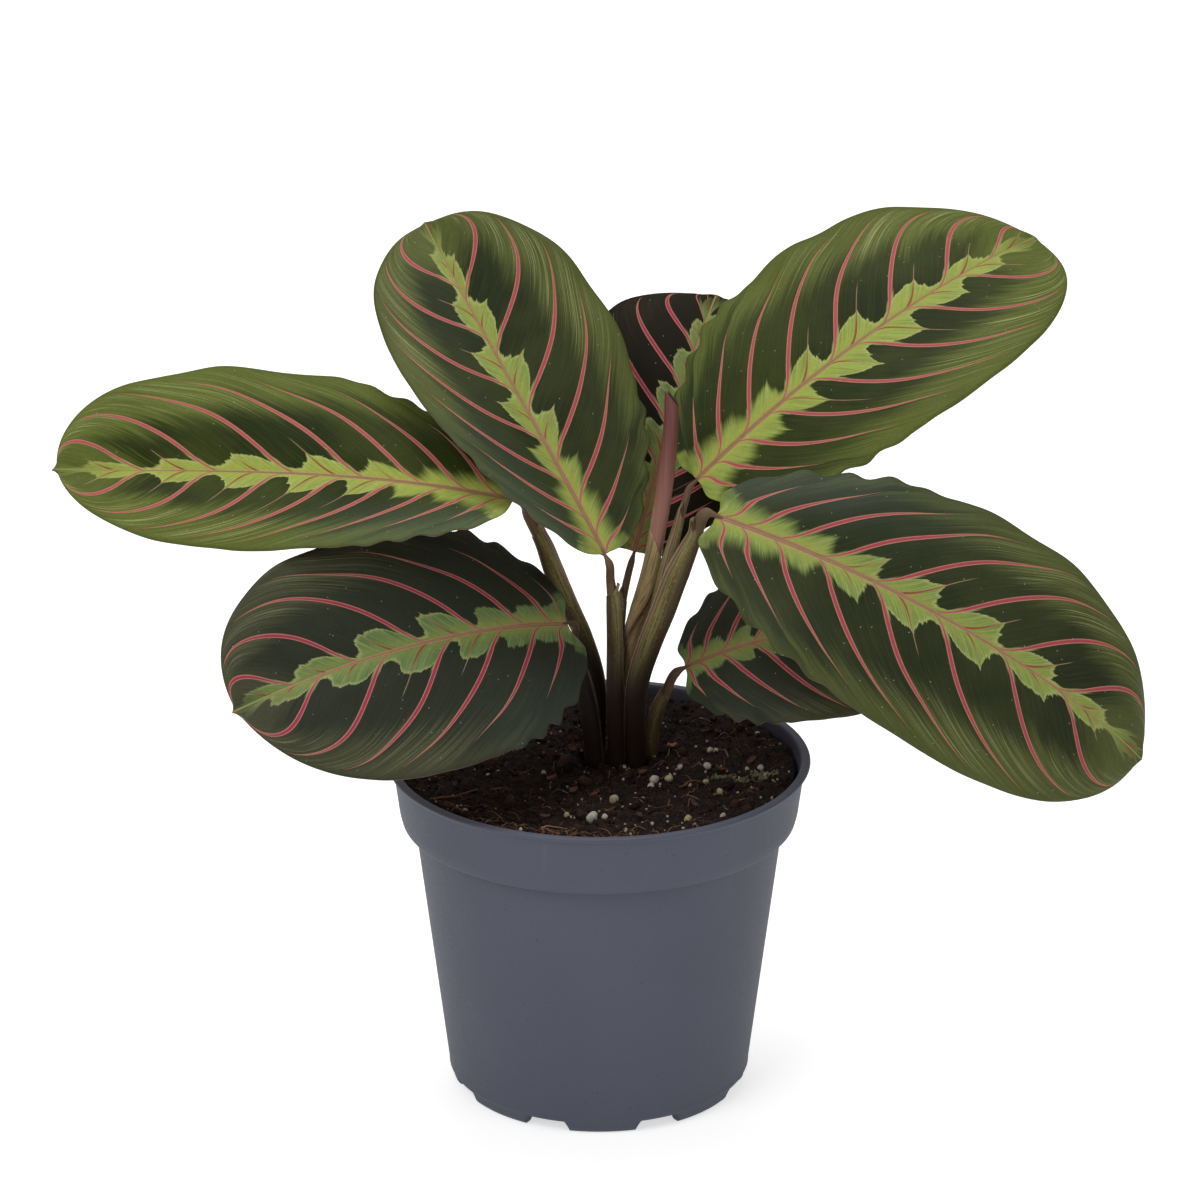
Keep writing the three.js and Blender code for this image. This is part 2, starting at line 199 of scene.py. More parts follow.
def length_setting(name, description, default):
    return FloatProperty(
        name=name, description=description, default=default * MM, min=0, unit="LENGTH", precision=5
    )


def colour_setting(name, description, *screen):
    return FloatVectorProperty(
        name=name, description=description, default=tint(*screen), min=0, max=1, subtype="COLOR"
    )


class PotSettings(bpy.types.PropertyGroup):
    """Sizes and finish of the nursery pot."""

    height: length_setting("Height", "From the ground to the top of the lip", 98)
    lip_radius: length_setting("Lip radius", "Outer radius of the rolled lip", 60)
    band_radius: length_setting("Band radius", "Outer radius of the rim band at its top", 58.3)
    step_height: length_setting("Step height", "Where the rim band steps in to the wall", 78)
    foot_radius: length_setting("Foot radius", "Outer radius of the ring of feet", 40.9)
    wall: length_setting("Wall", "Thickness of the wall", 1.1)
    steps: IntProperty(name="Steps", description="Facets around the pot", default=192, min=48)
    colour: colour_setting("Colour", "The pot's plastic", 83, 87, 102)


class SoilSettings(bpy.types.PropertyGroup):
    """Sizes and colours of the potting mix."""

    level: length_setting("Level", "Height of the soil at the pot's axis", 94.2)
    edge_drop: length_setting("Edge drop", "How much lower it lies at the wall", 1.4)
    crumb_height: length_setting("Crumb height", "Height of the broad lumps", 0.8)
    crumbs: IntProperty(name="Crumbs", description="Loose crumbs on the soil", default=900, min=0)
    fibres: IntProperty(name="Fibres", description="Root and bark fibres", default=190, min=0)
    grains: IntProperty(name="Grains", description="Small perlite grains", default=210, min=0)
    colour: colour_setting("Soil colour", "Moist dark peat", 38, 25, 20)
    fibre_colour: colour_setting("Fibre colour", "Root and bark fibres", 104, 66, 46)
    grain_colour: colour_setting("Grain colour", "Perlite", 205, 200, 186)
    moss_colour: colour_setting("Moss colour", "Moss on the soil", 96, 96, 66)


class LeafSettings(bpy.types.PropertyGroup):
    """Sizes and colours that all blades share."""

    thickness: length_setting("Thickness", "Thickness of a blade at its midrib", 0.7)
    edge_thickness: length_setting("Edge thickness", "Thickness of a blade at its edge", 0.3)
    quilting: length_setting("Quilting", "How far the blade bulges between two veins", 0.22)
    rows: IntProperty(name="Rows", description="Faces along a blade", default=150, min=20)
    columns: IntProperty(name="Columns", description="Faces across a blade", default=72, min=8)
    vein_width: length_setting("Vein width", "Width of a side vein", 1.3)
    dark: colour_setting("Blotch colour", "Dark blotches on a fresh leaf", 37, 46, 15)
    cool_dark: colour_setting("Dark blotch colour", "Dark blotches on a dark leaf", 43, 49, 36)
    margin: colour_setting("Margin colour", "Towards the edge of a fresh leaf", 102, 113, 48)
    cool_margin: colour_setting("Dark margin colour", "Towards the edge of a dark leaf", 74, 75, 54)
    streak: colour_setting("Streak colour", "Fine pale streaks on a fresh leaf", 192, 194, 126)
    cool_streak: colour_setting("Dark streak colour", "Pale streaks on a dark leaf", 140, 144, 104)
    band: colour_setting("Band colour", "Jagged band of a fresh leaf", 174, 190, 88)
    cool_band: colour_setting("Dark band colour", "Jagged band of a dark leaf", 116, 142, 84)
    vein: colour_setting("Vein colour", "Side veins of a fresh leaf", 188, 94, 90)
    cool_vein: colour_setting("Crimson vein colour", "Side veins of a dark leaf", 170, 60, 80)
    vein_edge: colour_setting("Vein edge colour", "Pale edges of the veins", 212, 156, 134)
    rib: colour_setting("Midrib colour", "The midrib", 172, 112, 94)
    under: colour_setting("Underside colour", "Underside of a blade", 128, 96, 96)


class StalkSettings(bpy.types.PropertyGroup):
    """Sizes and colours that all stalks share."""

    fold: length_setting("Fold", "How far the edge of the sheath stands proud", 0.5)
    sides: IntProperty(name="Sides", description="Facets around a stalk", default=32, min=8)
    rings: IntProperty(name="Rings", description="Facets along a stalk", default=96, min=8)
    # the foot colour is partly the stalk's own dark maroon and partly painted shade near the soil
    foot: colour_setting("Foot colour", "Stalk near the soil", 40, 27, 21)
    sheath: colour_setting("Sheath colour", "Folded part of the stalk", 118, 104, 62)
    neck: colour_setting("Neck colour", "Thin part of the stalk below the blade", 118, 94, 72)
    edge: colour_setting("Edge colour", "Pale edge of the sheath", 176, 146, 122)


class NewLeafSettings(bpy.types.PropertyGroup):
    """Sizes and colours of the furled new leaf."""

    sheet: length_setting("Sheet", "Thickness of the rolled sheet", 0.32)
    turns: FloatProperty(name="Turns", description="How often the leaf is rolled", default=2.3)
    colour: colour_setting("Leaf colour", "Outside of the rolled leaf", 136, 78, 72)
    sheath: colour_setting("Sheath colour", "Sheath around the rolled leaf", 236, 198, 148)


# ---------------------------------------------------------------- nodes


class Nodes:
    """Adds nodes to one tree and links them as it goes."""

    def __init__(self, tree):
        self.tree = tree

    def add(self, kind, **settings):
        node = self.tree.nodes.new("ShaderNode" + kind)
        for name, value in settings.items():
            setattr(node, name, value)
        return node

    def feed(self, socket, value):
        if isinstance(value, bpy.types.NodeSocket):
            self.tree.links.new(value, socket)
        elif socket.type == "RGBA" and len(value) == 3:
            socket.default_value = (*value, 1)
        else:
            socket.default_value = value

    def math(self, operation, *values):
        node = self.add("Math", operation=operation)
        for socket, value in zip(node.inputs, values):
            self.feed(socket, value)
        return node.outputs[0]

    def ease(self, value, low, high, bottom=0.0, top=1.0):
        """A smooth step from bottom to top as value goes from low to high."""
        node = self.add("MapRange", interpolation_type="SMOOTHSTEP")
        for socket, given in zip(node.inputs, (value, low, high, bottom, top)):
            self.feed(socket, given)
        return node.outputs[0]

    def mix(self, share, first, second):
        """A colour between first and second."""
        node = self.add("Mix", data_type="RGBA")
        for index, value in ((0, share), (6, first), (7, second)):
            self.feed(node.inputs[index], value)
        return node.outputs[2]

    def blend(self, share, first, second):
        """A value between first and second."""
        node = self.add("Mix", data_type="FLOAT")
        for index, value in ((0, share), (2, first), (3, second)):
            self.feed(node.inputs[index], value)
        return node.outputs[0]

    def attribute(self, name):
        return self.add("Attribute", attribute_name=name).outputs["Fac"]

    def vector(self, *values):
        node = self.add("CombineXYZ")
        for socket, value in zip(node.inputs, values):
            self.feed(socket, value)
        return node.outputs[0]

    def place(self):
        """The point in the plant's own frame, in metres."""
        return self.add("TexCoord").outputs["Object"]

    def noise(self, vector, scale, detail=2.0, roughness=0.5):
        node = self.add("TexNoise")
        self.feed(node.inputs["Vector"], vector)
        for name, value in (("Scale", scale), ("Detail", detail), ("Roughness", roughness)):
            self.feed(node.inputs[name], value)
        return node.outputs["Fac"]

    def chance(self, value):
        """A random share that stays the same for one value."""
        node = self.add("TexWhiteNoise", noise_dimensions="1D")
        self.feed(node.inputs["W"], value)
        return node.outputs["Value"]

    def curve(self, value, points):
        """Straight stretches through (position, height) points, from 0 to 1."""
        ramp = self.add("ValToRGB")
        for position, height in points[1:-1]:
            ramp.color_ramp.elements.new(position)
        for element, (position, height) in zip(ramp.color_ramp.elements, points):
            element.position = position
            element.color = (height, height, height, 1)
        self.feed(ramp.inputs[0], value)
        return ramp.outputs[0]

    def use(self, group, **values):
        """A group with its named inputs fed; gives its outputs, to take by name."""
        node = self.add("Group", node_tree=group)
        for name, value in values.items():
            self.feed(node.inputs[name.replace("_", " ")], value)
        return node.outputs

    def bump(self, height, distance, strength=1.0):
        node = self.add("Bump")
        node.inputs["Strength"].default_value = strength
        node.inputs["Distance"].default_value = distance
        self.feed(node.inputs["Height"], height)
        return node.outputs[0]


def open_group(name, inputs, outputs):
    """Starts a node group; gives the tree, its nodes, its input sockets and its output node."""
    tree = bpy.data.node_groups.new(name, "ShaderNodeTree")
    for socket, default in inputs:
        made = tree.interface.new_socket(socket, in_out="INPUT", socket_type="NodeSocketFloat")
        made.default_value = default
    for socket in outputs:
        tree.interface.new_socket(socket, in_out="OUTPUT", socket_type="NodeSocketFloat")
    start = tree.nodes.new("NodeGroupInput")
    end = tree.nodes.new("NodeGroupOutput")
    return tree, Nodes(tree), start.outputs, end.inputs


def shared_group(name, build):
    """The node group of that name, built the first time it is asked for."""
    return bpy.data.node_groups.get(name) or build(name)


def build_mottle(name):
    """Broad and fine cloudiness for any surface: Size is the size of the broad clouds."""
    tree, n, given, result = open_group(
        name, [("Size", 0.02), ("Fine size", 0.001)], ["Broad", "Fine"]
    )
    place = n.place()
    broad = n.noise(place, n.math("DIVIDE", 1.0, given["Size"]), 3)
    fine = n.noise(place, n.math("DIVIDE", 1.0, given["Fine size"]), 4, 0.65)
    n.feed(result["Broad"], n.ease(broad, 0.3, 0.7))
    n.feed(result["Fine"], n.ease(fine, 0.25, 0.75))
    return tree


def build_side_veins(name):
    """The side veins of a blade, from the attributes of its mesh.

    Phase counts the veins from the base, Cell is its whole part and Part its fraction. Spacing is
    the distance between two veins and Off that to the nearest, in millimetres. Vein and Core are
    masks of the veins and of their middles, and Fine a pattern of hair-thin veinlets.
    """
    tree, n, given, result = open_group(
        name,
        [
            ("Left count", 8.0), ("Left shift", 0.0), ("Right count", 8.0), ("Right shift", 0.0),
            ("Half width", 0.5),
        ],
        ["Phase", "Cell", "Part", "Spacing", "Off", "Vein", "Core", "Fine", "Reach"],
    )
    across = n.attribute("across")
    edge = n.math("ABSOLUTE", across)
    left = n.math("GREATER_THAN", across, 0.0)
    reach = n.attribute("midrib_reach")
    count = n.blend(left, given["Right count"], given["Left count"])
    shift = n.blend(left, given["Right shift"], given["Left shift"])
    # the veins run along the midrib before they leave it
    back = n.math("MULTIPLY", 0.020, n.math("EXPONENT", n.math("DIVIDE", reach, -1.3)))
    line = n.math("ADD", n.attribute("vein_line"), back)
    start = n.math("MAXIMUM", line, 0.0)
    crowd = n.math("MULTIPLY", VEIN_CROWD, n.math("POWER", start, 5.0))
    spread = n.math("MULTIPLY", count, n.math("POWER", start, VEIN_POWER))
    phase = n.math("ADD", n.math("ADD", spread, crowd), shift)
    cell = n.math("FLOOR", phase)
    nearest = n.math("ROUND", phase)
    rate = n.math(
        "ADD",
        n.math(
            "MULTIPLY",
            n.math("MULTIPLY", count, VEIN_POWER),
            n.math("POWER", n.math("MAXIMUM", start, 0.006), VEIN_POWER - 1),
        ),
        n.math("MULTIPLY", 5 * VEIN_CROWD, n.math("POWER", start, 4.0)),
    )
    spacing = n.math("DIVIDE", n.attribute("vein_reach"), rate)
    off = n.math("MULTIPLY", n.math("ABSOLUTE", n.math("SUBTRACT", phase, nearest)), spacing)
    # each vein starts narrow at the midrib, widens, thins out again and ends before the edge
    early = n.math("EXPONENT", n.math("DIVIDE", start, -0.12))
    end = n.math("SUBTRACT", 0.95, n.math("MULTIPLY", 0.22, early))
    taper = n.ease(n.math("SUBTRACT", end, edge), 0.0, 0.5)
    narrow = n.ease(reach, 0.5, 9.0, 0.55, 1.0)
    full = n.math("MULTIPLY", given["Half width"], narrow)
    width = n.math("MULTIPLY", full, n.math("POWER", taper, 0.6))
    real = n.math("MULTIPLY", n.math("GREATER_THAN", start, 0.004), n.math("LESS_THAN", start, 0.885))
    real = n.math("MULTIPLY", real, n.math("GREATER_THAN", taper, 0.001))
    vein = n.math("SUBTRACT", off, width)
    n.feed(result["Vein"], n.math("MULTIPLY", real, n.ease(vein, 0.10, -0.10)))
    n.feed(result["Core"], n.math("MULTIPLY", real, n.ease(vein, -0.12, -0.34)))
    half = n.math("MULTIPLY", left, 50.0)
    n.feed(result["Phase"], n.math("ADD", phase, half))
    n.feed(result["Cell"], cell)
    n.feed(result["Part"], n.math("SUBTRACT", phase, cell))
    n.feed(result["Spacing"], spacing)
    n.feed(result["Off"], vein)
    n.feed(result["Reach"], reach)
    hairs = n.vector(n.math("MULTIPLY", phase, 13.0), n.math("MULTIPLY", edge, 2.2), half)
    n.feed(result["Fine"], n.noise(hairs, 1.0, 1.5, 0.6))
    return tree


def use_side_veins(n, leaf, look):
    """The side veins of one leaf, in one of its materials."""
    (left_count, left_shift), (right_count, right_shift) = leaf["veins_left"][:2], leaf["veins_right"][:2]
    return n.use(
        shared_group("side veins", build_side_veins),
        Left_count=left_count, Left_shift=left_shift,
        Right_count=right_count, Right_shift=right_shift,
        Half_width=look.vein_width / MM / 2,
    )


def new_material(name):
    """An empty material with its Principled shader; gives the material, its nodes and the shader."""
    material = bpy.data.materials.new(name)
    material.use_nodes = True
    material.node_tree.nodes.clear()
    n = Nodes(material.node_tree)
    shader = n.add("BsdfPrincipled")
    output = n.add("OutputMaterial")
    n.feed(output.inputs["Surface"], shader.outputs[0])
    return material, n, shader


def dimmed(colour, share):
    return tuple(c * share for c in colour)


def mixed(first, second, share):
    return tuple(mix(a, b, share) for a, b in zip(first, second))


# a dark brown that stands partly for a leaf's own browning and partly for painted shade
SHADED_BROWN = tint(30, 22, 12)


def leaf_tones(leaf, look):
    """One leaf's colours, by its tone between those of a dark leaf and of a fresh one."""
    pairs = {
        "dark": (look.cool_dark, look.dark),
        "margin": (look.cool_margin, look.margin),
        "streak": (look.cool_streak, look.streak),
        "band": (look.cool_band, look.band),
        "vein": (look.cool_vein, look.vein),
    }
    tones = {kind: mixed(cool, fresh, leaf["tone"]) for kind, (cool, fresh) in pairs.items()}
    # dull the greens to a dark brown: partly the leaf's own browning, partly painted shade
    for kind in ("dark", "margin", "streak"):
        tones[kind] = mixed(tones[kind], SHADED_BROWN, leaf["brown"])
    return tones


# One tooth of the band: the place in its cell, and its height on a dark leaf and on a fresh one.
TOOTH = (
    (0.0, 0.42, 0.42), (0.05, 0.66, 0.5), (0.12, 0.9, 0.74), (0.2, 0.98, 0.86), (0.31, 1.0, 0.93),
    (0.41, 0.96, 0.97), (0.445, 1.04, 1.12), (0.475, 0.98, 0.93), (0.54, 0.93, 0.7),
    (0.61, 0.82, 0.53), (0.65, 0.7, 0.56), (0.68, 0.5, 0.42), (0.78, 0.3, 0.25), (0.88, 0.22, 0.2),
    (0.96, 0.26, 0.26), (1.0, 0.42, 0.42),
)


def blade_material(name, leaf, look):
    """The upper face: dark blotches, mid-green margin, lime band, pink veins and the midrib."""
    material, n, shader = new_material(name)
    tones = leaf_tones(leaf, look)
    veins = use_side_veins(n, leaf, look)
    mottle = n.use(shared_group("mottle", build_mottle), Size=0.03, Fine_size=0.0012)
    phase, cell, part, reach, spacing = (
        veins[k] for k in ("Phase", "Cell", "Part", "Reach", "Spacing")
    )
    across = n.attribute("across")
    edge = n.math("ABSOLUTE", across)
    left = n.math("GREATER_THAN", across, 0.0)
    along = n.attribute("along")
    seed = n.math("ADD", cell, n.math("MULTIPLY", left, 17.0))
    seed = n.math("ADD", seed, float(leaf["length"]))
    luck = n.chance(seed)
    luck_two = n.chance(n.math("ADD", seed, 0.37))

    # streaks that follow the veins, coarse and fine
    coarse = n.noise(
        n.vector(n.math("MULTIPLY", phase, 7.0), n.math("MULTIPLY", edge, 1.6), seed), 1.0, 2.0
    )
    fine = n.noise(
        n.vector(n.math("MULTIPLY", phase, 24.0), n.math("MULTIPLY", edge, 3.0), seed), 1.0, 1.0
    )
    hair = n.noise(
        n.vector(n.math("MULTIPLY", phase, 60.0), n.math("MULTIPLY", edge, 2.0), seed), 1.0, 1.0
    )

    # mid green margin, with dark blotches inside it that end in streaks
    inner = mix(0.64, 0.5, leaf["tone"])
    dark_end = n.math("ADD", inner, n.math("MULTIPLY", n.ease(part, 0.0, 1.0), 0.16))
    dark_end = n.math("ADD", dark_end, n.math("MULTIPLY", 0.4, n.math("SUBTRACT", coarse, 0.5)))
    dark_end = n.math("ADD", dark_end, n.math("MULTIPLY", 0.3, n.math("SUBTRACT", fine, 0.5)))
    dark_end = n.math("ADD", dark_end, n.ease(along, 0.7, 0.15, 0.0, 0.28))
    dark_end = n.math("SUBTRACT", dark_end, n.ease(along, 0.6, 0.95, 0.0, 0.2))
    blotch = n.ease(n.math("SUBTRACT", edge, dark_end), 0.16, -0.18)
    wander = n.math("MULTIPLY", 0.12, n.math("SUBTRACT", fine, 0.5))
    near_tip = n.math("ADD", n.attribute("vein_line"), wander)
    blotch = n.math("MULTIPLY", blotch, n.ease(near_tip, 0.86, 0.76))
    dark = n.mix(n.ease(fine, 0.3, 0.75, 0.0, 0.14), tones["dark"], tones["margin"])
    dark = n.mix(n.ease(mottle["Broad"], 0.0, 1.0, 0.0, 0.22), dark, tones["margin"])
    cloudy = n.ease(mottle["Broad"], 0, 1, 0.0, 0.5)
    colour = n.mix(cloudy, tones["margin"], dimmed(tones["margin"], 1.35))
    colour = n.mix(n.ease(fine, 0.3, 0.7, 0.0, 0.45), colour, dimmed(tones["margin"], 0.6))
    colour = n.mix(blotch, colour, dark)

    # painted sheen: a grey haze near the base, mostly on the left half, painted in as the reflection of the
    # bright studio
    painted_sheen = n.math("MULTIPLY", n.ease(along, 0.65, 0.1), n.ease(edge, 0.15, 0.85))
    painted_sheen = n.math("MULTIPLY", painted_sheen, n.blend(left, 0.1 * leaf["painted_sheen"], 0.6 * leaf["painted_sheen"]))
    colour = n.mix(painted_sheen, colour, mixed(tint(62, 72, 64), tint(82, 94, 78), leaf["tone"]))

    # thin pale streaks between the veins, mostly in the half of the blade towards its tip
    zone = n.math("MULTIPLY", n.ease(edge, 0.42, 0.7), n.ease(edge, 1.0, 0.9))
    zone = n.math("MULTIPLY", zone, n.ease(part, 0.0, 0.12))
    zone = n.math("MULTIPLY", zone, n.ease(part, 0.95, 0.45, 0.15, 1.0))
    zone = n.math("MULTIPLY", zone, n.ease(along, 0.35, 0.68, 0.12, 1.0))
    streak = n.math("MULTIPLY", n.ease(hair, 0.52, 0.66), zone)
    streak = n.math("MULTIPLY", streak, n.ease(coarse, 0.36, 0.58, 0.0, 1.0))
    colour = n.mix(n.math("MULTIPLY", streak, 0.9), colour, tones["streak"])

    # jagged lime band: one tooth in each cell, wide where the blade is wide
    lean = n.math("ADD", part, n.math("MULTIPLY", n.math("SUBTRACT", luck, 0.5), 0.1))
    pointed = min(1, 2 * leaf["tone"])
    tooth = n.curve(lean, [(at, mix(blunt, sharp, pointed)) for at, blunt, sharp in TOOTH])
    jagged = n.math("MULTIPLY", n.ease(along, 0.02, 0.3), n.ease(luck_two, 0.0, 1.0, 0.86, 1.05))
    tooth = n.math("SUBTRACT", 1.0, n.math("MULTIPLY", jagged, n.math("SUBTRACT", 1.0, tooth)))
    width = n.curve(
        along,
        [
            (0.0, 0.9), (0.06, 0.55), (0.2, 0.62), (0.3, 0.72), (0.45, 0.8), (0.58, 0.74),
            (0.7, 0.54), (0.86, 0.34), (0.95, 0.3), (1.0, 0.1),
        ],
    )
    scale = n.blend(left, 10 * leaf["veins_right"][3], 10 * leaf["veins_left"][3])
    band_edge = n.math("MULTIPLY", n.math("MULTIPLY", tooth, width), scale)
    lobes = n.noise(n.vector(n.math("MULTIPLY", phase, 9.0), seed, 0.0), 1.0, 1.0)
    frayed = n.math("MULTIPLY", n.math("SUBTRACT", lobes, 0.5), 1.6)
    base_rag, base_soft = mix(1.2, 2.0, pointed), mix(0.5, 3.2, pointed)
    ragged = n.math("MULTIPLY", n.math("SUBTRACT", hair, 0.5), n.ease(along, 0.4, 0.05, 1.1, base_rag))
    band_edge = n.math("ADD", n.math("ADD", band_edge, frayed), ragged)
    soft = n.ease(along, 0.4, 0.0, 0.22, base_soft)
    inside = n.math("SUBTRACT", band_edge, reach)
    band = n.ease(inside, n.math("MULTIPLY", soft, -1.0), soft)
    fringe = n.math(
        "MULTIPLY", n.ease(veins["Off"], 0.55, 0.2), n.ease(inside, -3.4, -1.2)
    )
    band = n.math("MAXIMUM", band, n.math("MULTIPLY", fringe, 0.7))
    band = n.math("MULTIPLY", band, n.ease(along, 1.0, 0.9, 0.25, 1.0))
    lime, cream = tones["band"], tint(206, 208, 138)
    band_colour = n.mix(n.ease(fine, 0.3, 0.7), lime, dimmed(lime, 0.72))
    band_colour = n.mix(n.ease(hair, 0.5, 0.75, 0.0, 0.4), band_colour, cream)
    yellow = n.math("MULTIPLY", n.ease(reach, 5.0, 0.6), n.ease(along, 0.5, 0.0, 0.35, 0.75))
    band_colour = n.mix(yellow, band_colour, mixed(lime, tint(190, 188, 84), 0.6))
    pale_rim = n.math("MULTIPLY", n.ease(inside, 1.1, 0.0), n.ease(along, 0.2, 0.4))
    band_colour = n.mix(n.math("MULTIPLY", pale_rim, 0.45), band_colour, cream)
    band_colour = n.mix(n.ease(along, 0.8, 1.0, 0.0, 0.6), band_colour, dimmed(lime, 0.55))
    colour = n.mix(band, colour, band_colour)

    # a thin vein runs to the tip of each tooth and a little on
    tip_line = n.math("MULTIPLY", n.math("ABSOLUTE", n.math("SUBTRACT", lean, 0.44)), spacing)
    tip_reach = n.math("MULTIPLY", n.math("MULTIPLY", width, scale), n.ease(luck, 0, 1, 0.9, 2.2))
    run = n.math("DIVIDE", reach, tip_reach)
    tip_width = n.math("MULTIPLY", 0.5, n.math("EXPONENT", n.math("MULTIPLY", run, -3.0)))
    tip_vein = n.ease(n.math("SUBTRACT", tip_line, tip_width), 0.12, -0.04)
    tip_vein = n.math("MULTIPLY", tip_vein, n.ease(run, 1.0, 0.8))
    tip_vein = n.math("MULTIPLY", tip_vein, n.ease(along, 0.15, 0.35))
    tip_colour = n.mix(n.ease(run, 0.2, 0.8), tint(158, 72, 62), tint(186, 150, 116))
    colour = n.mix(n.math("MULTIPLY", tip_vein, 0.9), colour, tip_colour)

    # side veins with paler edges, browner towards their ends
    pale_edge = mixed(tones["vein"], tuple(look.vein_edge), 0.7)
    vein_colour = n.mix(veins["Core"], pale_edge, tones["vein"])
    vein_colour = n.mix(n.ease(edge, 0.5, 0.95, 0.0, 0.7), vein_colour, tint(176, 112, 84))
    vein_colour = n.mix(n.ease(reach, 3.0, 0.5, 0.0, 0.45), vein_colour, tuple(look.rib))
    colour = n.mix(veins["Vein"], colour, vein_colour)

    # midrib with a pale middle near the base and pale pink edges
    rib_width = n.ease(along, 0.0, 1.0, 0.85, 0.22)
    rib_off = n.math("SUBTRACT", reach, rib_width)
    rib_colour = n.mix(n.ease(rib_off, -0.3, -0.05), tuple(look.rib), tint(206, 152, 128))
    middle = n.math("MULTIPLY", n.ease(reach, 0.55, 0.15), n.ease(along, 0.9, 0.3))
    rib_colour = n.mix(middle, rib_colour, tint(158, 138, 96))
    rib_colour = n.mix(n.ease(along, 0.72, 0.95), rib_colour, tint(158, 160, 96))
    colour = n.mix(n.ease(rib_off, 0.14, -0.14), colour, rib_colour)

    # fine cloudiness and a few pale specks of dust
    colour = n.mix(n.ease(mottle["Fine"], 0, 1, 0.0, 0.10), colour, tint(20, 26, 16))
    dust = n.add("TexVoronoi")
    n.feed(dust.inputs["Vector"], n.place())
    dust.inputs["Scale"].default_value = 400
    speck = n.math("MULTIPLY", n.ease(dust.outputs["Distance"], 0.1, 0.04), 0.6)
    speck = n.math("MULTIPLY", speck, n.math("GREATER_THAN", dust.outputs["Color"], 0.55))
    colour = n.mix(speck, colour, tint(176, 182, 168))
    rib = n.ease(rib_off, 0.16, -0.16)
    n.feed(shader.inputs["Base Color"], colour)
    n.feed(shader.inputs["Roughness"], n.blend(veins["Vein"], n.ease(fine, 0, 1, 0.42, 0.56), 0.45))
    height = n.math("ADD", n.math("MULTIPLY", fine, 0.6), n.math("MULTIPLY", coarse, 0.4))
    height = n.math("SUBTRACT", height, n.math("MULTIPLY", veins["Vein"], 0.9))
    height = n.math("SUBTRACT", height, n.math("MULTIPLY", rib, 1.2))
    n.feed(shader.inputs["Normal"], n.bump(height, 0.12 * MM, 0.8))
    gloss = mix(0.14, 0.06, leaf["tone"]) * (1 - 0.8 * leaf["brown"])
    shader.inputs["Specular IOR Level"].default_value = gloss
    return material


def underside_material(name, leaf, look):
    """The under face: dull, pinkish green with the veins standing out."""
    material, n, shader = new_material(name)
    veins = use_side_veins(n, leaf, look)
    mottle = n.use(shared_group("mottle", build_mottle), Size=0.02, Fine_size=0.001)
    colour = n.mix(mottle["Broad"], tuple(look.under), tint(112, 104, 84))
    colour = n.mix(n.ease(veins["Fine"], 0.35, 0.65, 0.0, 0.4), colour, tint(96, 62, 66))
    colour = n.mix(n.ease(veins["Reach"], 7.0, 4.0, 0.0, 0.55), colour, tint(142, 146, 96))
    colour = n.mix(veins["Vein"], colour, tint(158, 84, 90))
    colour = n.mix(n.ease(veins["Reach"], 1.3, 0.8), colour, tint(150, 96, 84))
    n.feed(shader.inputs["Base Color"], colour)
    n.feed(shader.inputs["Roughness"], n.ease(veins["Fine"], 0, 1, 0.5, 0.65))
    height = n.math("ADD", veins["Fine"], n.math("MULTIPLY", veins["Vein"], 1.5))
    n.feed(shader.inputs["Normal"], n.bump(height, 0.15 * MM, 0.8))
    shader.inputs["Specular IOR Level"].default_value = 0.3
    return material


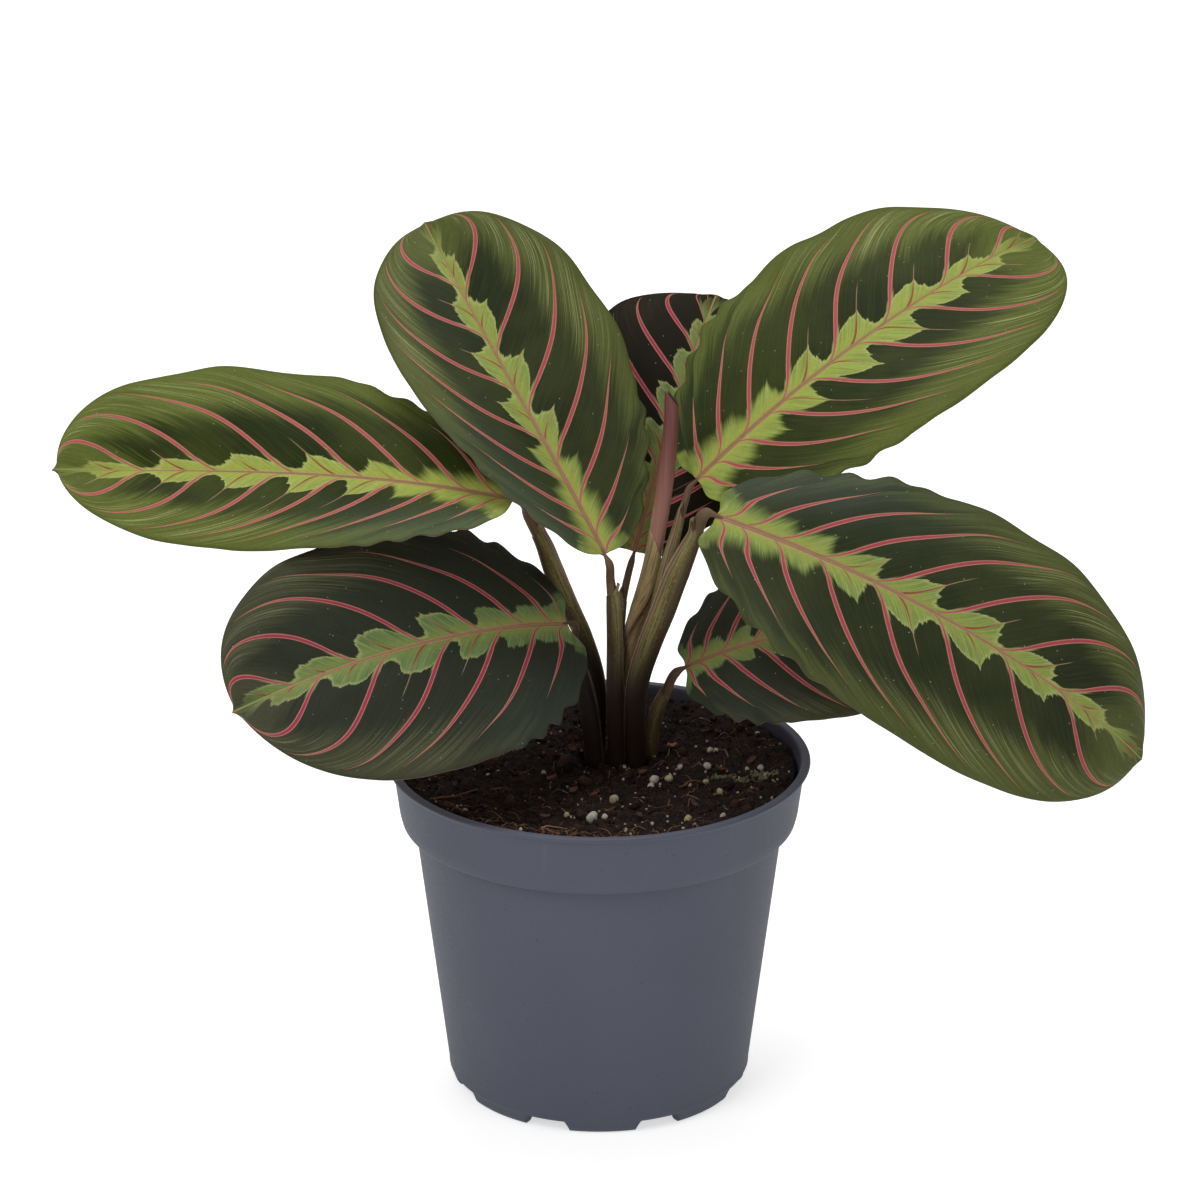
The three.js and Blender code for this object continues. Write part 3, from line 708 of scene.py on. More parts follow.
def stalk_material(name, foot, sheath, neck, edge_colour, painted_shade_top, far_side=0.8):
    """A stalk, darker away from its seam and with a pale edge at the seam. Painted shade darkens it
    towards the soil, into its foot colour, below a given height.
    """
    material, n, shader = new_material(name)
    along, wrap = n.attribute("along"), n.attribute("wrap")
    folded = n.attribute("folded")
    mottle = n.use(shared_group("mottle", build_mottle), Size=0.006, Fine_size=0.0009)
    lines = n.noise(
        n.vector(n.math("MULTIPLY", wrap, 40.0), n.math("MULTIPLY", along, 6.0), 0.0), 1.0, 2.0, 0.6
    )
    # painted shade: the stalk darkens towards the soil over the 44 mm below the given height, where the
    # leaves above shade it
    point = n.add("SeparateXYZ")
    n.feed(point.inputs[0], n.place())
    upper = n.ease(point.outputs["Z"], (painted_shade_top - 44) * MM, painted_shade_top * MM)
    # 0 at the seam and 1 on the side away from it
    from_middle = n.math("ABSOLUTE", n.math("SUBTRACT", n.math("MULTIPLY", wrap, 2.0), 1.0))
    away = n.math("SUBTRACT", 1.0, from_middle)
    colour = n.mix(n.ease(lines, 0.42, 0.62), sheath, tint(152, 146, 94))
    colour = n.mix(n.ease(folded, 0.6, 0.0), colour, neck)
    colour = n.mix(n.ease(lines, 0.5, 0.3, 0.0, 0.5), colour, tint(70, 50, 38))
    speckle = n.ease(mottle["Fine"], 0.55, 0.8, 0.0, 0.4)
    colour = n.mix(n.math("MULTIPLY", speckle, folded), colour, tint(172, 162, 108))
    dark = n.ease(n.math("ADD", away, n.math("MULTIPLY", lines, 0.3)), 0.36, 0.7, 0.0, far_side)
    colour = n.mix(n.math("MULTIPLY", dark, folded), colour, tint(70, 50, 38))
    rosy = n.math("MULTIPLY", n.ease(away, 0.16, 0.05, 0.0, 0.7), folded)
    colour = n.mix(rosy, colour, tint(158, 126, 108))
    # painted shade: towards the soil the stalk turns to the foot colour, partly its own dark maroon and
    # partly shade, and its pale edge dims
    colour = n.mix(n.ease(upper, 1.0, 0.0), colour, foot)
    pale = n.math("MULTIPLY", n.ease(wrap, 0.955, 0.985, 0.0, 0.7), n.ease(upper, 0.0, 0.6, 0.6, 1.0))
    colour = n.mix(n.math("MULTIPLY", pale, folded), colour, edge_colour)
    n.feed(shader.inputs["Base Color"], colour)
    n.feed(shader.inputs["Roughness"], n.ease(mottle["Fine"], 0, 1, 0.42, 0.58))
    height = n.math("ADD", lines, n.math("MULTIPLY", mottle["Fine"], 0.3))
    n.feed(shader.inputs["Normal"], n.bump(height, 0.15 * MM, 0.8))
    shader.inputs["Specular IOR Level"].default_value = 0.2
    return material


def rolled_leaf_material(look):
    """The rolled new leaf: maroon pink with fine lines along it, darker inside the roll."""
    material, n, shader = new_material("rolled_new_leaf")
    along, wrap = n.attribute("along"), n.attribute("wrap")
    lines = n.noise(
        n.vector(n.math("ADD", n.math("MULTIPLY", wrap, 90.0), n.math("MULTIPLY", along, 9.0)), along, 0.0),
        1.0, 2.0, 0.6,
    )
    colour = n.mix(n.ease(lines, 0.35, 0.65), tuple(look.colour), tint(106, 60, 56))
    colour = n.mix(n.ease(along, 0.85, 0.2, 0.0, 0.85), colour, tint(192, 138, 120))
    colour = n.mix(n.ease(wrap, 0.3, 0.5, 0.0, 0.7), colour, tint(70, 38, 42))
    n.feed(shader.inputs["Base Color"], colour)
    n.feed(shader.inputs["Roughness"], n.ease(lines, 0, 1, 0.42, 0.55))
    n.feed(shader.inputs["Normal"], n.bump(lines, 0.15 * MM, 0.7))
    return material


def pot_material(look):
    """Slate grey moulded plastic with a faint texture, flow marks and a few scuffs."""
    material, n, shader = new_material("pot_plastic")
    mottle = n.use(shared_group("mottle", build_mottle), Size=0.035, Fine_size=0.0006)
    place = n.place()
    flow = n.add("Mapping")
    n.feed(flow.inputs["Vector"], place)
    flow.inputs["Scale"].default_value = (260, 260, 14)
    marks = n.noise(flow.outputs[0], 1.0, 3.0, 0.6)
    specks = n.noise(place, 900.0, 1.0)
    base = tuple(look.colour)
    colour = n.mix(n.ease(mottle["Broad"], 0, 1, 0.0, 0.35), base, dimmed(base, 1.15))
    colour = n.mix(n.ease(marks, 0.62, 0.8, 0.0, 0.22), colour, dimmed(base, 1.7))
    colour = n.mix(n.ease(specks, 0.74, 0.78, 0.0, 0.5), colour, dimmed(base, 0.45))
    n.feed(shader.inputs["Base Color"], colour)
    n.feed(shader.inputs["Roughness"], n.ease(mottle["Fine"], 0, 1, 0.46, 0.6))
    n.feed(shader.inputs["Normal"], n.bump(mottle["Fine"], 0.04 * MM, 0.6))
    shader.inputs["Specular IOR Level"].default_value = 0.45
    return material


def soil_material(look):
    """Moist peat, nearly black in its hollows and reddish brown on its crumbs."""
    material, n, shader = new_material("potting_soil")
    mottle = n.use(shared_group("mottle", build_mottle), Size=0.006, Fine_size=0.0008)
    shade = n.attribute("shade")
    colour = n.mix(mottle["Broad"], tuple(look.colour), tint(20, 13, 11))
    colour = n.mix(n.ease(mottle["Fine"], 0.45, 0.95, 0.0, 0.7), colour, tint(84, 58, 44))
    colour = n.mix(n.ease(shade, 0.0, 1.0, 0.0, 0.6), colour, tint(90, 62, 48))
    n.feed(shader.inputs["Base Color"], colour)
    n.feed(shader.inputs["Roughness"], n.ease(mottle["Fine"], 0, 1, 0.7, 0.95))
    n.feed(shader.inputs["Normal"], n.bump(mottle["Fine"], 0.5 * MM, 1.0))
    shader.inputs["Specular IOR Level"].default_value = 0.25
    return material


def bits_material(name, first, second, roughness=0.8):
    """Loose bits on the soil: shade, an attribute of each bit, leads from one colour to another."""
    material, n, shader = new_material(name)
    mottle = n.use(shared_group("mottle", build_mottle), Size=0.002, Fine_size=0.0004)
    colour = n.mix(n.attribute("shade"), first, second)
    colour = n.mix(n.ease(mottle["Fine"], 0.2, 0.9, 0.0, 0.35), colour, tint(60, 46, 36))
    n.feed(shader.inputs["Base Color"], colour)
    n.feed(shader.inputs["Roughness"], n.ease(mottle["Fine"], 0, 1, roughness - 0.1, roughness))
    n.feed(shader.inputs["Normal"], n.bump(mottle["Fine"], 0.15 * MM, 0.8))
    return material


# ---------------------------------------------------------------- mesh helpers


def finish_piece(bm, name, slot, materials, *nodes):
    """Makes a bmesh in millimetres a piece of the plant that stands for the CAD nodes named."""
    bmesh.ops.scale(bm, vec=(MM, MM, MM), verts=bm.verts)
    mesh = bpy.data.meshes.new(name)
    bm.to_mesh(mesh)
    bm.free()
    for material in materials:
        mesh.materials.append(material)
    mesh.shade_smooth()
    piece = bpy.data.objects.new(name, mesh)
    bpy.context.scene.collection.objects.link(piece)
    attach(piece, "root")
    if nodes:
        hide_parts(*nodes)
    return piece


def smoothstep(value, low, high):
    share = min(1, max(0, (value - low) / (high - low)))
    return share * share * (3 - 2 * share)


def mix(first, second, share):
    return first + (second - first) * share


def tube(bm, sides, rings, place, **layers):
    """A closed tube. place(share, turn) gives the point at a share of its length and a share of a
    turn around it. The last side leads from a full turn back to none, which lets it be a step.
    layers gives a function of (share, turn) for each float attribute."""
    stores = {key: bm.verts.layers.float.get(key) or bm.verts.layers.float.new(key) for key in layers}
    verts = bmesh.ops.create_grid(bm, x_segments=sides, y_segments=rings, size=1)["verts"]
    for v in verts:
        share, around = (v.co.y + 1) / 2, (v.co.x + 1) / 2
        closing = around > 1 - 0.5 / sides
        turn = 0.0 if closing else around * sides / (sides - 1)
        for key, store in stores.items():
            v[store] = layers[key](share, turn)
        v.co = place(share, turn)
    bmesh.ops.remove_doubles(bm, verts=verts, dist=1e-4)
    loose = [e for v in verts if v.is_valid for e in v.link_edges if e.is_boundary]
    bmesh.ops.holes_fill(bm, edges=list(set(loose)))
    bmesh.ops.recalc_face_normals(bm, faces=bm.faces)


class Path:
    """A smooth line through points, with a radius at each, as the CAD's stalks follow."""

    def __init__(self, points):
        self.points = [Vector(p[:3]) for p in points]
        self.radii = [p[3] for p in points]
        ends = [2 * self.points[0] - self.points[1], 2 * self.points[-1] - self.points[-2]]
        self.held = [ends[0], *self.points, ends[1]]

    def at(self, share):
        """The point there, on a centripetal Catmull-Rom curve."""
        spans = len(self.points) - 1
        i = min(int(share * spans), spans - 1)
        p = self.held[i : i + 4]
        knots = [0.0]
        for a, b in zip(p, p[1:]):
            knots.append(knots[-1] + max(1e-4, (b - a).length ** 0.5))
        t = mix(knots[1], knots[2], share * spans - i)

        def lerp(a, b, low, high):
            return a + (b - a) * ((t - low) / (high - low))

        first = [lerp(p[j], p[j + 1], knots[j], knots[j + 1]) for j in range(3)]
        second = [lerp(first[j], first[j + 1], knots[j], knots[j + 2]) for j in range(2)]
        return lerp(second[0], second[1], knots[1], knots[2])

    def radius(self, share):
        spans = len(self.points) - 1
        i = min(int(share * spans), spans - 1)
        return mix(self.radii[i], self.radii[i + 1], share * spans - i)

    def frame(self, share):
        """The point, the directions to the right and to the back across the path, and along it."""
        low, high = max(0, share - 0.005), min(1, share + 0.005)
        along = (self.at(high) - self.at(low)).normalized()
        right = (Vector((1, 0, 0)) - along * along.x).normalized()
        return self.at(share), right, right.cross(along) * -1, along

    def around(self, share, radius, angle):
        """The point at that share of the path, out from it by radius in the direction of angle."""
        point, right, back, _ = self.frame(share)
        return point + right * (radius * math.cos(angle)) + back * (radius * math.sin(angle))


# ---------------------------------------------------------------- blades


def midrib(leaf):
    """The midrib as evenly spaced frames: X along it, Y to its left, Z up from the blade."""
    angles = [math.radians(a) for a in (leaf["roll"], -leaf["pitch"], leaf["yaw"])]
    turn = Euler(angles, "XYZ").to_quaternion()
    origin = Vector(leaf["base"])
    frames = [(origin, turn)]
    for i in range(MIDRIB_STEPS):
        s = (i + 0.5) / MIDRIB_STEPS
        bend = leaf["droop"] + 3 * leaf["tip_droop"] * s * s
        spin = Vector((leaf["twist"], bend, leaf["sweep"])) * (math.pi / 180 / MIDRIB_STEPS)
        half_turn = Quaternion(spin.normalized(), spin.length / 2)
        turn = turn @ half_turn
        origin = origin + turn @ Vector((leaf["length"] / MIDRIB_STEPS, 0, 0))
        turn = turn @ half_turn
        frames.append((origin, turn))
    return frames


def frame_at(frames, s):
    i = min(int(s * MIDRIB_STEPS), MIDRIB_STEPS - 1)
    part = s * MIDRIB_STEPS - i
    (origin, turn), (next_origin, next_turn) = frames[i : i + 2]
    return origin.lerp(next_origin, part), turn.slerp(next_turn, part)


def width_share(leaf, s):
    """The blade's half width at s as a share of its greatest."""
    widest = leaf["widest"]
    if s < widest:
        return math.sqrt(1 - ((widest - s) / widest) ** leaf["base_full"])
    return math.sqrt(max(0, 1 - ((s - widest) / (1 - widest)) ** leaf["tip_full"]))


def half_width(leaf, s, side):
    wave = math.sin(2 * math.pi * (leaf["waves"] * s + leaf["phase"] + 0.37 * side))
    widest = leaf["left_width"] if side > 0 else leaf["right_width"]
    return max(widest * width_share(leaf, s) * (1 + SCALLOP * wave), BASE_END * (1 - s)), wave


def ruffle(leaf, s, side, edge):
    """Small frills that push the very edge out and in near the base, and leave the veins alone."""
    turns = RUFFLES * s + leaf["phase"] + 0.2 * side
    return RUFFLE * math.sin(2 * math.pi * turns) * smoothstep(s, 0.45, 0.15) * edge**8


def vein_at(lean, hook, start, edge):
    """The share of the blade's length that the side vein from start reaches at edge."""
    first = max(0.0, start)
    bend = 0.2 + 0.9 * (1 - math.exp(-first / 0.1)) + 0.3 * first
    left = 1 - first
    return start + left * (1 - math.exp(-(lean * edge + hook * edge**4) * bend / left))


class Blade:
    """Places the points of one blade: s from base to tip, t from the right edge to the left."""

    def __init__(self, leaf, look):
        self.leaf = leaf
        self.frames = midrib(leaf)
        self.thick = look.thickness / MM / 2
        self.thin = look.edge_thickness / MM / 2
        self.quilting = look.quilting / MM
        self.sides = {1: leaf["veins_left"], -1: leaf["veins_right"]}
        self.row = lru_cache(maxsize=8)(self.measure_row)
        self.start = lru_cache(maxsize=None)(self.vein_rule)

    def measure_row(self, s):
        origin, turn = frame_at(self.frames, s)
        halves = {side: half_width(self.leaf, s, side) for side in (-1, 1)}
        step = 0.004
        low, high = max(0.001, s - step), min(0.999, s + step)
        slopes = {
            side: (half_width(self.leaf, high, side)[0] - half_width(self.leaf, low, side)[0])
            / (high - low)
            for side in (-1, 1)
        }
        return origin, turn, width_share(self.leaf, s), halves, slopes

    def vein_rule(self, s, edge, side):
        """The start of the side vein through a place, as a share of the midrib."""
        lean, hook = self.sides[side][2], self.leaf["hook"]
        low, high = -0.6, 0.995
        for _ in range(26):
            middle = (low + high) / 2
            low, high = (middle, high) if vein_at(lean, hook, middle, edge) < s else (low, middle)
        return low

    def vein_line(self, s, t):
        """Constant along each side vein: where it starts, as a share of the midrib."""
        wander = 0.006 * noise.noise(Vector((s * 5, t * 2.5, self.leaf["length"])))
        return self.start(s, abs(t), 1 if t >= 0 else -1) + wander * abs(t)

    def vein_reach(self, s, t):
        """Millimetres on the blade for a step of one in vein_line, across the veins."""
        side = 1 if t >= 0 else -1
        edge, small = abs(t), 0.002
        _, _, _, halves, slopes = self.row(s)
        half, slope = halves[side][0], slopes[side]
        lean, hook = self.sides[side][2], self.leaf["hook"]
        start = min(self.start(s, edge, side), 0.99)
        by_start, by_edge = (
            (vein_at(lean, hook, start + a, edge + b) - vein_at(lean, hook, start - a, edge - b))
            / (2 * small)
            for a, b in ((small, 0), (0, small))
        )
        across = -by_edge / by_start / half
        along = (1 / by_start - across * edge * slope) / self.leaf["length"]
        return 1 / max(math.hypot(across, along), 1e-4)

    def relief(self, s, t):
        """Quilting between the veins, flat along the midrib and at the edge."""
        edge = abs(t)
        count, shift = self.sides[1 if t >= 0 else -1][:2]
        line = max(0, self.vein_line(s, t))
        phase = count * line**VEIN_POWER + VEIN_CROWD * line**5 + shift
        puff = abs(math.sin(math.pi * phase)) ** 0.8
        envelope = smoothstep(edge, 0.02, 0.25) * smoothstep(edge, 1.0, 0.75)
        return self.quilting * puff * envelope * smoothstep(line, 0.0, 0.06)

    def point(self, s, t, upper):
        leaf = self.leaf
        side = 1 if t >= 0 else -1
        edge = abs(t)
        origin, turn, share, halves, _ = self.row(s)
        half, wave = halves[side]
        tilt = math.radians(leaf["fold"] - leaf["cup"] / 2 * edge)
        beside_stalk = smoothstep(edge * half, 1.5, 9)
        reach = edge * half * (1 + ruffle(leaf, s, side, edge))
        curl = noise.noise(Vector((s * 11, side * 3.0, leaf["length"])))
        above = RIPPLE * wave * edge**3 * share + 0.7 * curl * edge**5 * share
        above += self.relief(s, t)
        half_thick = mix(self.thick, self.thin, smoothstep(edge, 0.2, 1.0))
        ridge = math.exp(-((reach / 0.9) ** 2))
        if upper:
            above += half_thick - 0.2 * ridge
        else:
            above -= half_thick + mix(0.75, 0.15, s) * ridge
        local = Vector((
            DRIP * s**30 * (1 - edge) ** 2 - leaf["lobe"] * (1 - s) ** 8 * beside_stalk,
            side * reach * math.cos(tilt),
            reach * math.sin(tilt) + above,
        ))
        return origin + turn @ local


def build_blade(leaf, look):
    """A blade's mesh, with the attributes that its materials read."""
    blade = Blade(leaf, look)
    bm = bmesh.new()
    layers = bm.verts.layers.float
    keys = ("along", "across", "vein_line", "vein_reach", "midrib_reach")
    store = {key: layers.new(key) for key in keys}
    bmesh.ops.create_grid(bm, x_segments=look.columns, y_segments=look.rows, size=1)
    lower = bmesh.ops.extrude_face_region(bm, geom=bm.faces[:], use_keep_orig=True)["geom"]
    bmesh.ops.translate(
        bm, vec=(0, 0, -1), verts=[v for v in lower if isinstance(v, bmesh.types.BMVert)]
    )
    for v in bm.verts:
        x, y, z = v.co
        s = 0.0003 + 0.9994 * (0.5 + 0.5 * math.sin(math.pi / 2 * y))
        t = -x * (0.5 + 0.5 * abs(x))
        v[store["along"]] = s
        v[store["across"]] = t
        v[store["vein_line"]] = blade.vein_line(s, t)
        v[store["vein_reach"]] = blade.vein_reach(s, t)
        v[store["midrib_reach"]] = abs(t) * blade.row(s)[3][1 if t >= 0 else -1][0]
        v.co = blade.point(s, t, z > -0.5)
    bmesh.ops.recalc_face_normals(bm, faces=bm.faces)
    return bm


# ---------------------------------------------------------------- operators


def ready(context):
    """Operators build into a scene that holds the frame."""
    if not frame["nodes"]:
        raise RuntimeError("the frame has no nodes: load the packed model first")
    return context.scene


# The camera's place in metres, its tilt in degrees and its lens in millimetres.
CAMERA_PLACE = (0.0003, -1.3105, 0.6379)
CAMERA_TILT = 69.4
CAMERA_LENS = 150
# Each lamp's name, place and width in metres, and power in watts. They aim at LAMP_AIM.
LAMPS = (
    ("key", (-0.9, -1.1, 1.5), 1.1, 9.5),
    ("fill", (1.3, -0.8, 1.1), 1.2, 2.8),
    ("top", (0.0, 0.5, 1.7), 1.2, 11),
)
LAMP_AIM = (0, 0, 0.13)


class PLANT_OT_stage(bpy.types.Operator):
    """Makes the pale floor, the soft studio lights and the camera at the photograph's angle"""

    bl_idname = "plant.stage"
    bl_label = "Stage"

    def execute(self, context):
        scene = ready(context)
        scene.view_settings.view_transform = "Standard"
        bm = bmesh.new()
        bmesh.ops.create_grid(bm, x_segments=1, y_segments=1, size=4)
        mesh = bpy.data.meshes.new("floor")
        bm.to_mesh(mesh)
        bm.free()
        floor = bpy.data.objects.new("floor", mesh)
        material, n, shader = new_material("floor_white")
        shader.inputs["Base Color"].default_value = (0.9, 0.9, 0.9, 1)
        shader.inputs["Roughness"].default_value = 0.9
        shader.inputs["Specular IOR Level"].default_value = 0.1
        # the floor looks white, but throws only a little light up at the plant
        seen = n.add("LightPath").outputs["Is Camera Ray"]
        n.feed(shader.inputs["Emission Color"], n.mix(seen, (0.35, 0.35, 0.35), (1, 1, 1)))
        shader.inputs["Emission Strength"].default_value = 0.6
        mesh.materials.append(material)
        scene.collection.objects.link(floor)

        world = bpy.data.worlds.new("studio")
        world.use_nodes = True
        background = world.node_tree.nodes["Background"]
        air = Nodes(world.node_tree)
        seen = air.add("LightPath").outputs["Is Camera Ray"]
        air.feed(background.inputs["Color"], air.mix(seen, (0.32, 0.32, 0.32), (1, 1, 1)))
        background.inputs["Strength"].default_value = 1.0
        scene.world = world
        for name, place, size, power in LAMPS:
            light = bpy.data.lights.new(name, "AREA")
            light.shape = "DISK"
            light.size = size
            light.energy = power
            lamp = bpy.data.objects.new(name, light)
            lamp.location = place
            aim = Vector(LAMP_AIM) - lamp.location
            lamp.rotation_euler = aim.to_track_quat("-Z", "Y").to_euler()
            scene.collection.objects.link(lamp)

        lens = bpy.data.cameras.new("camera")
        lens.lens = CAMERA_LENS
        lens.sensor_width = 36
        lens.clip_start = 0.05
        camera = bpy.data.objects.new("camera", lens)
        camera.location = CAMERA_PLACE
        camera.rotation_euler = (math.radians(CAMERA_TILT), 0, 0)
        scene.collection.objects.link(camera)
        scene.camera = camera
        return {"FINISHED"}


def rounded(profile, radius, steps=4):
    """A profile with its inner corners turned into small arcs, where both sides are long enough."""
    points = [Vector(p) for p in profile]
    made = [points[0]]
    for before, corner, after in zip(points, points[1:], points[2:]):
        back, on = before - corner, after - corner
        cut = min(radius, back.length * 0.4, on.length * 0.4)
        start, end = corner + back.normalized() * cut, corner + on.normalized() * cut
        for i in range(steps + 1):
            t = i / steps
            made.append(start * (1 - t) ** 2 + corner * 2 * t * (1 - t) + end * t * t)
    return [*made, points[-1]]


def spin_profile(bm, profile, steps, start=0.0):
    """Turns a profile of (radius, height) points about the Z axis, from a start angle."""
    corners = [bm.verts.new((r * math.cos(start), r * math.sin(start), z)) for r, z in profile]
    edges = [bm.edges.new(pair) for pair in zip(corners, corners[1:])]
    bmesh.ops.spin(
        bm, geom=corners + edges, cent=(0, 0, 0), axis=(0, 0, 1), angle=2 * math.pi, steps=steps,
        use_merge=True,
    )
    bmesh.ops.remove_doubles(bm, verts=bm.verts, dist=1e-4)


FOOT_ANGLE = 24.0
FOOT_HEIGHT = 3.0
FEET = 8
# A notch lifts what is lower than its top, over this many facets to each side of its middle.
NOTCH_TOP = 3.75
NOTCH_REACH = 4.5
DRAIN_HOLES = 6
DRAIN_CIRCLE = 28
DRAIN_RADIUS = 3.5


class PLANT_OT_pot(bpy.types.Operator):
    """Builds the pot with its rolled lip, rim band, step, notched feet and drain holes"""

    bl_idname = "plant.pot"
    bl_label = "Pot"

    def execute(self, context):
        look = ready(context).plant_pot
        height, lip, band = (v / MM for v in (look.height, look.lip_radius, look.band_radius))
        step, foot, wall = (v / MM for v in (look.step_height, look.foot_radius, look.wall))
        base, floor, heel, neck = 3.2, 4.8, 43.2, 52.2
        outside = [
            (foot - 3.3, base), (foot - 3, 0), (foot, 0), (foot + 1.2, 1.4), (heel - 0.45, 3.6),
            (heel - 0.15, 4.3), (heel + 0.02, 4.5), (heel + 0.1, 6.2), (neck, step),
            (neck + 0.1, step + 1.3), (band - 2.5, step + 1.9), (band - 1.7, step + 5),
            (band, height - 1.9), (lip - 0.5, height - 1.25), (lip, height - 0.6),
            (lip - 0.35, height),
        ]
        inside = [
            (band + 0.25 - wall, height), (band - 0.12 - wall, height - 0.9),
            (band - 1.7 - wall, step + 5), (neck + 0.6 - wall, step + 1.4), (neck - wall, step),
            (heel - wall, 6), (heel - 1 - wall, floor),
        ]
        bm = bmesh.new()
        start = math.radians(FOOT_ANGLE)
        spin_profile(bm, rounded(outside + inside, 0.9), look.steps, start)
        per_foot = look.steps // FEET
        for v in bm.verts:
            turn = (math.atan2(v.co.y, v.co.x) - start) / (2 * math.pi) * look.steps
            from_notch = abs((turn + per_foot / 2) % per_foot - per_foot / 2)
            if v.co.z < NOTCH_TOP and from_notch < NOTCH_REACH and v.co.xy.length > foot - 3.2:
                v.co.z = max(v.co.z, FOOT_HEIGHT + 0.2 * v.co.z)
        for z in (base, floor):
            rim = [e for e in bm.edges if e.is_boundary and all(abs(v.co.z - z) < 0.01 for v in e.verts)]
            out = Matrix.Translation((DRAIN_CIRCLE, 0, z))
            for i in range(DRAIN_HOLES):
                middle = Matrix.Rotation(math.radians(360 / DRAIN_HOLES * i), 4, "Z") @ out
                hole = bmesh.ops.create_circle(bm, segments=32, radius=DRAIN_RADIUS, matrix=middle)
                rim += list({e for v in hole["verts"] for e in v.link_edges})
            bmesh.ops.triangle_fill(bm, use_beauty=True, edges=rim)
        holes = [e for e in bm.edges if e.is_boundary]
        bmesh.ops.bridge_loops(bm, edges=holes)
        bmesh.ops.recalc_face_normals(bm, faces=bm.faces)
        piece = finish_piece(bm, "pot_shell", "pot_plastic", [pot_material(look)], "pot")
        piece.data.set_sharp_from_angle(angle=math.radians(50))
        return {"FINISHED"}


def soil_height(look, x, y):
    """Height of the soil's surface, as in the frame."""
    crumbs = (
        0.5 * math.sin(0.21 * x + 1) * math.cos(0.17 * y)
        + 0.3 * math.sin(0.43 * x - 0.31 * y + 2)
        + 0.2 * math.sin(0.77 * y + 0.52 * x)
    )
    share = (x * x + y * y) / 57.5**2
    drop = look.edge_drop / MM * share * share
    return look.level / MM - drop + look.crumb_height / MM * crumbs


def crumbly(x, y):
    """Finer lumps and hollows on top of the soil's broad shape."""
    place = Vector((x, y, 0))
    lumps = noise.fractal(place * 0.28, 0.9, 2.1, 4)
    grit = noise.fractal(place * 1.3, 0.8, 2.2, 3)
    hollows = max(0.0, noise.noise(place * 0.16 + Vector((9, 4, 2))) - 0.15)
    return 1.1 * lumps + 0.55 * grit - 3.2 * hollows


def stalk_feet():
    """Where each stalk enters the soil, as x, y and radius."""
    feet = [leaf["stalk"][0] for leaf in LEAVES.values()] + [FURLED_PATH[0]]
    return [(x, y, radius) for x, y, _, radius in feet]


SOIL_RISE = 1.8


def soil_surface(look, x, y):
    """The finished surface, a little higher at the wall, with a small dip at each stalk."""
    z = soil_height(look, x, y) + crumbly(x, y)
    z += SOIL_RISE * smoothstep(math.hypot(x, y), 44, 54)
    for foot_x, foot_y, radius in stalk_feet():
        off = math.hypot(x - foot_x, y - foot_y)
        z -= 1.6 * (1 - smoothstep(off, radius, radius + 3.5))
    return z


class PLANT_OT_soil(bpy.types.Operator):
    """Builds the soil with its uneven top and a plain hole for each stalk"""

    bl_idname = "plant.soil"
    bl_label = "Soil"

    def execute(self, context):
        look = ready(context).plant_soil
        top = look.level / MM - look.edge_drop / MM
        wall = [(0, 5.1), (40.8, 5.1), (41.8, 6.3), (50.2, 78.3), (51, 79.8), (54.4, 83.3), (55.5, top)]
        rings = 110
        crown = [(55.5 * (1 - i / rings), look.level / MM) for i in range(1, rings + 1)]
        bm = bmesh.new()
        shade = bm.verts.layers.float.new("shade")
        spin_profile(bm, wall + crown, 256)
        for v in bm.verts:
            if v.co.z < top - 3:
                continue
            x, y = v.co.xy
            v.co.z = min(soil_surface(look, x, y), 97)
            for foot_x, foot_y, radius in stalk_feet():
                if math.hypot(x - foot_x, y - foot_y) < radius + GAP:
                    v.co.z -= 6
            v[shade] = 0.5 * smoothstep(crumbly(x, y), 0.2, 1.6)
        bmesh.ops.recalc_face_normals(bm, faces=bm.faces)
        finish_piece(bm, "soil_bed", "potting_soil", [soil_material(look)], "soil")
        return {"FINISHED"}


def free_spot(rng, reach=54.0):
    """A random place on the soil, clear of the stalks."""
    while True:
        angle, radius = rng.uniform(0, 2 * math.pi), reach * math.sqrt(rng.random())
        x, y = radius * math.cos(angle), radius * math.sin(angle)
        if all(math.hypot(x - a, y - b) > r + 1.2 for a, b, r in stalk_feet()):
            return x, y


def add_lump(bm, rng, place, size, shade, subdivisions=2, squash=0.8, rough=0.3):
    """One rounded, uneven lump, turned at random."""
    turn = Euler([rng.uniform(0, 6.3) for _ in range(3)]).to_matrix().to_4x4()
    matrix = Matrix.Translation(place) @ turn @ Matrix.Diagonal((size, size * squash, size * 0.9, 1))
    verts = bmesh.ops.create_icosphere(bm, subdivisions=subdivisions, radius=0.5, matrix=matrix)["verts"]
    layer = bm.verts.layers.float["shade"]
    centre = Vector(place)
    for v in verts:
        out = v.co - centre
        v.co = centre + out * (1 + rough * noise.noise(v.co * (2.2 / size) + centre))
        v[layer] = shade


def add_fibre(bm, rng, look, start, heading, length, radius, shade, lift=1.0):
    """One bent, tapering fibre that lies on the soil."""
    points = []
    x, y = start
    bend = rng.uniform(-0.9, 0.9)
    arch = rng.uniform(0.3, 1.0) * lift
    count = 5
    for i in range(count):
        share = i / (count - 1)
        z = soil_surface(look, x, y) + 0.25 + arch * math.sin(math.pi * share) * length * 0.16
        points.append((x, y, min(z, 97.2), radius * (1 - 0.6 * share)))
        angle = heading + bend * share
        x += math.cos(angle) * length / count
        y += math.sin(angle) * length / count
        if math.hypot(x, y) > 55:
            x, y = x * 0.97, y * 0.97
    path = Path(points)

    def place(share, turn):
        return path.around(share, path.radius(share), 2 * math.pi * turn)

    tube(bm, 5, 6, place, shade=lambda share, turn: shade)


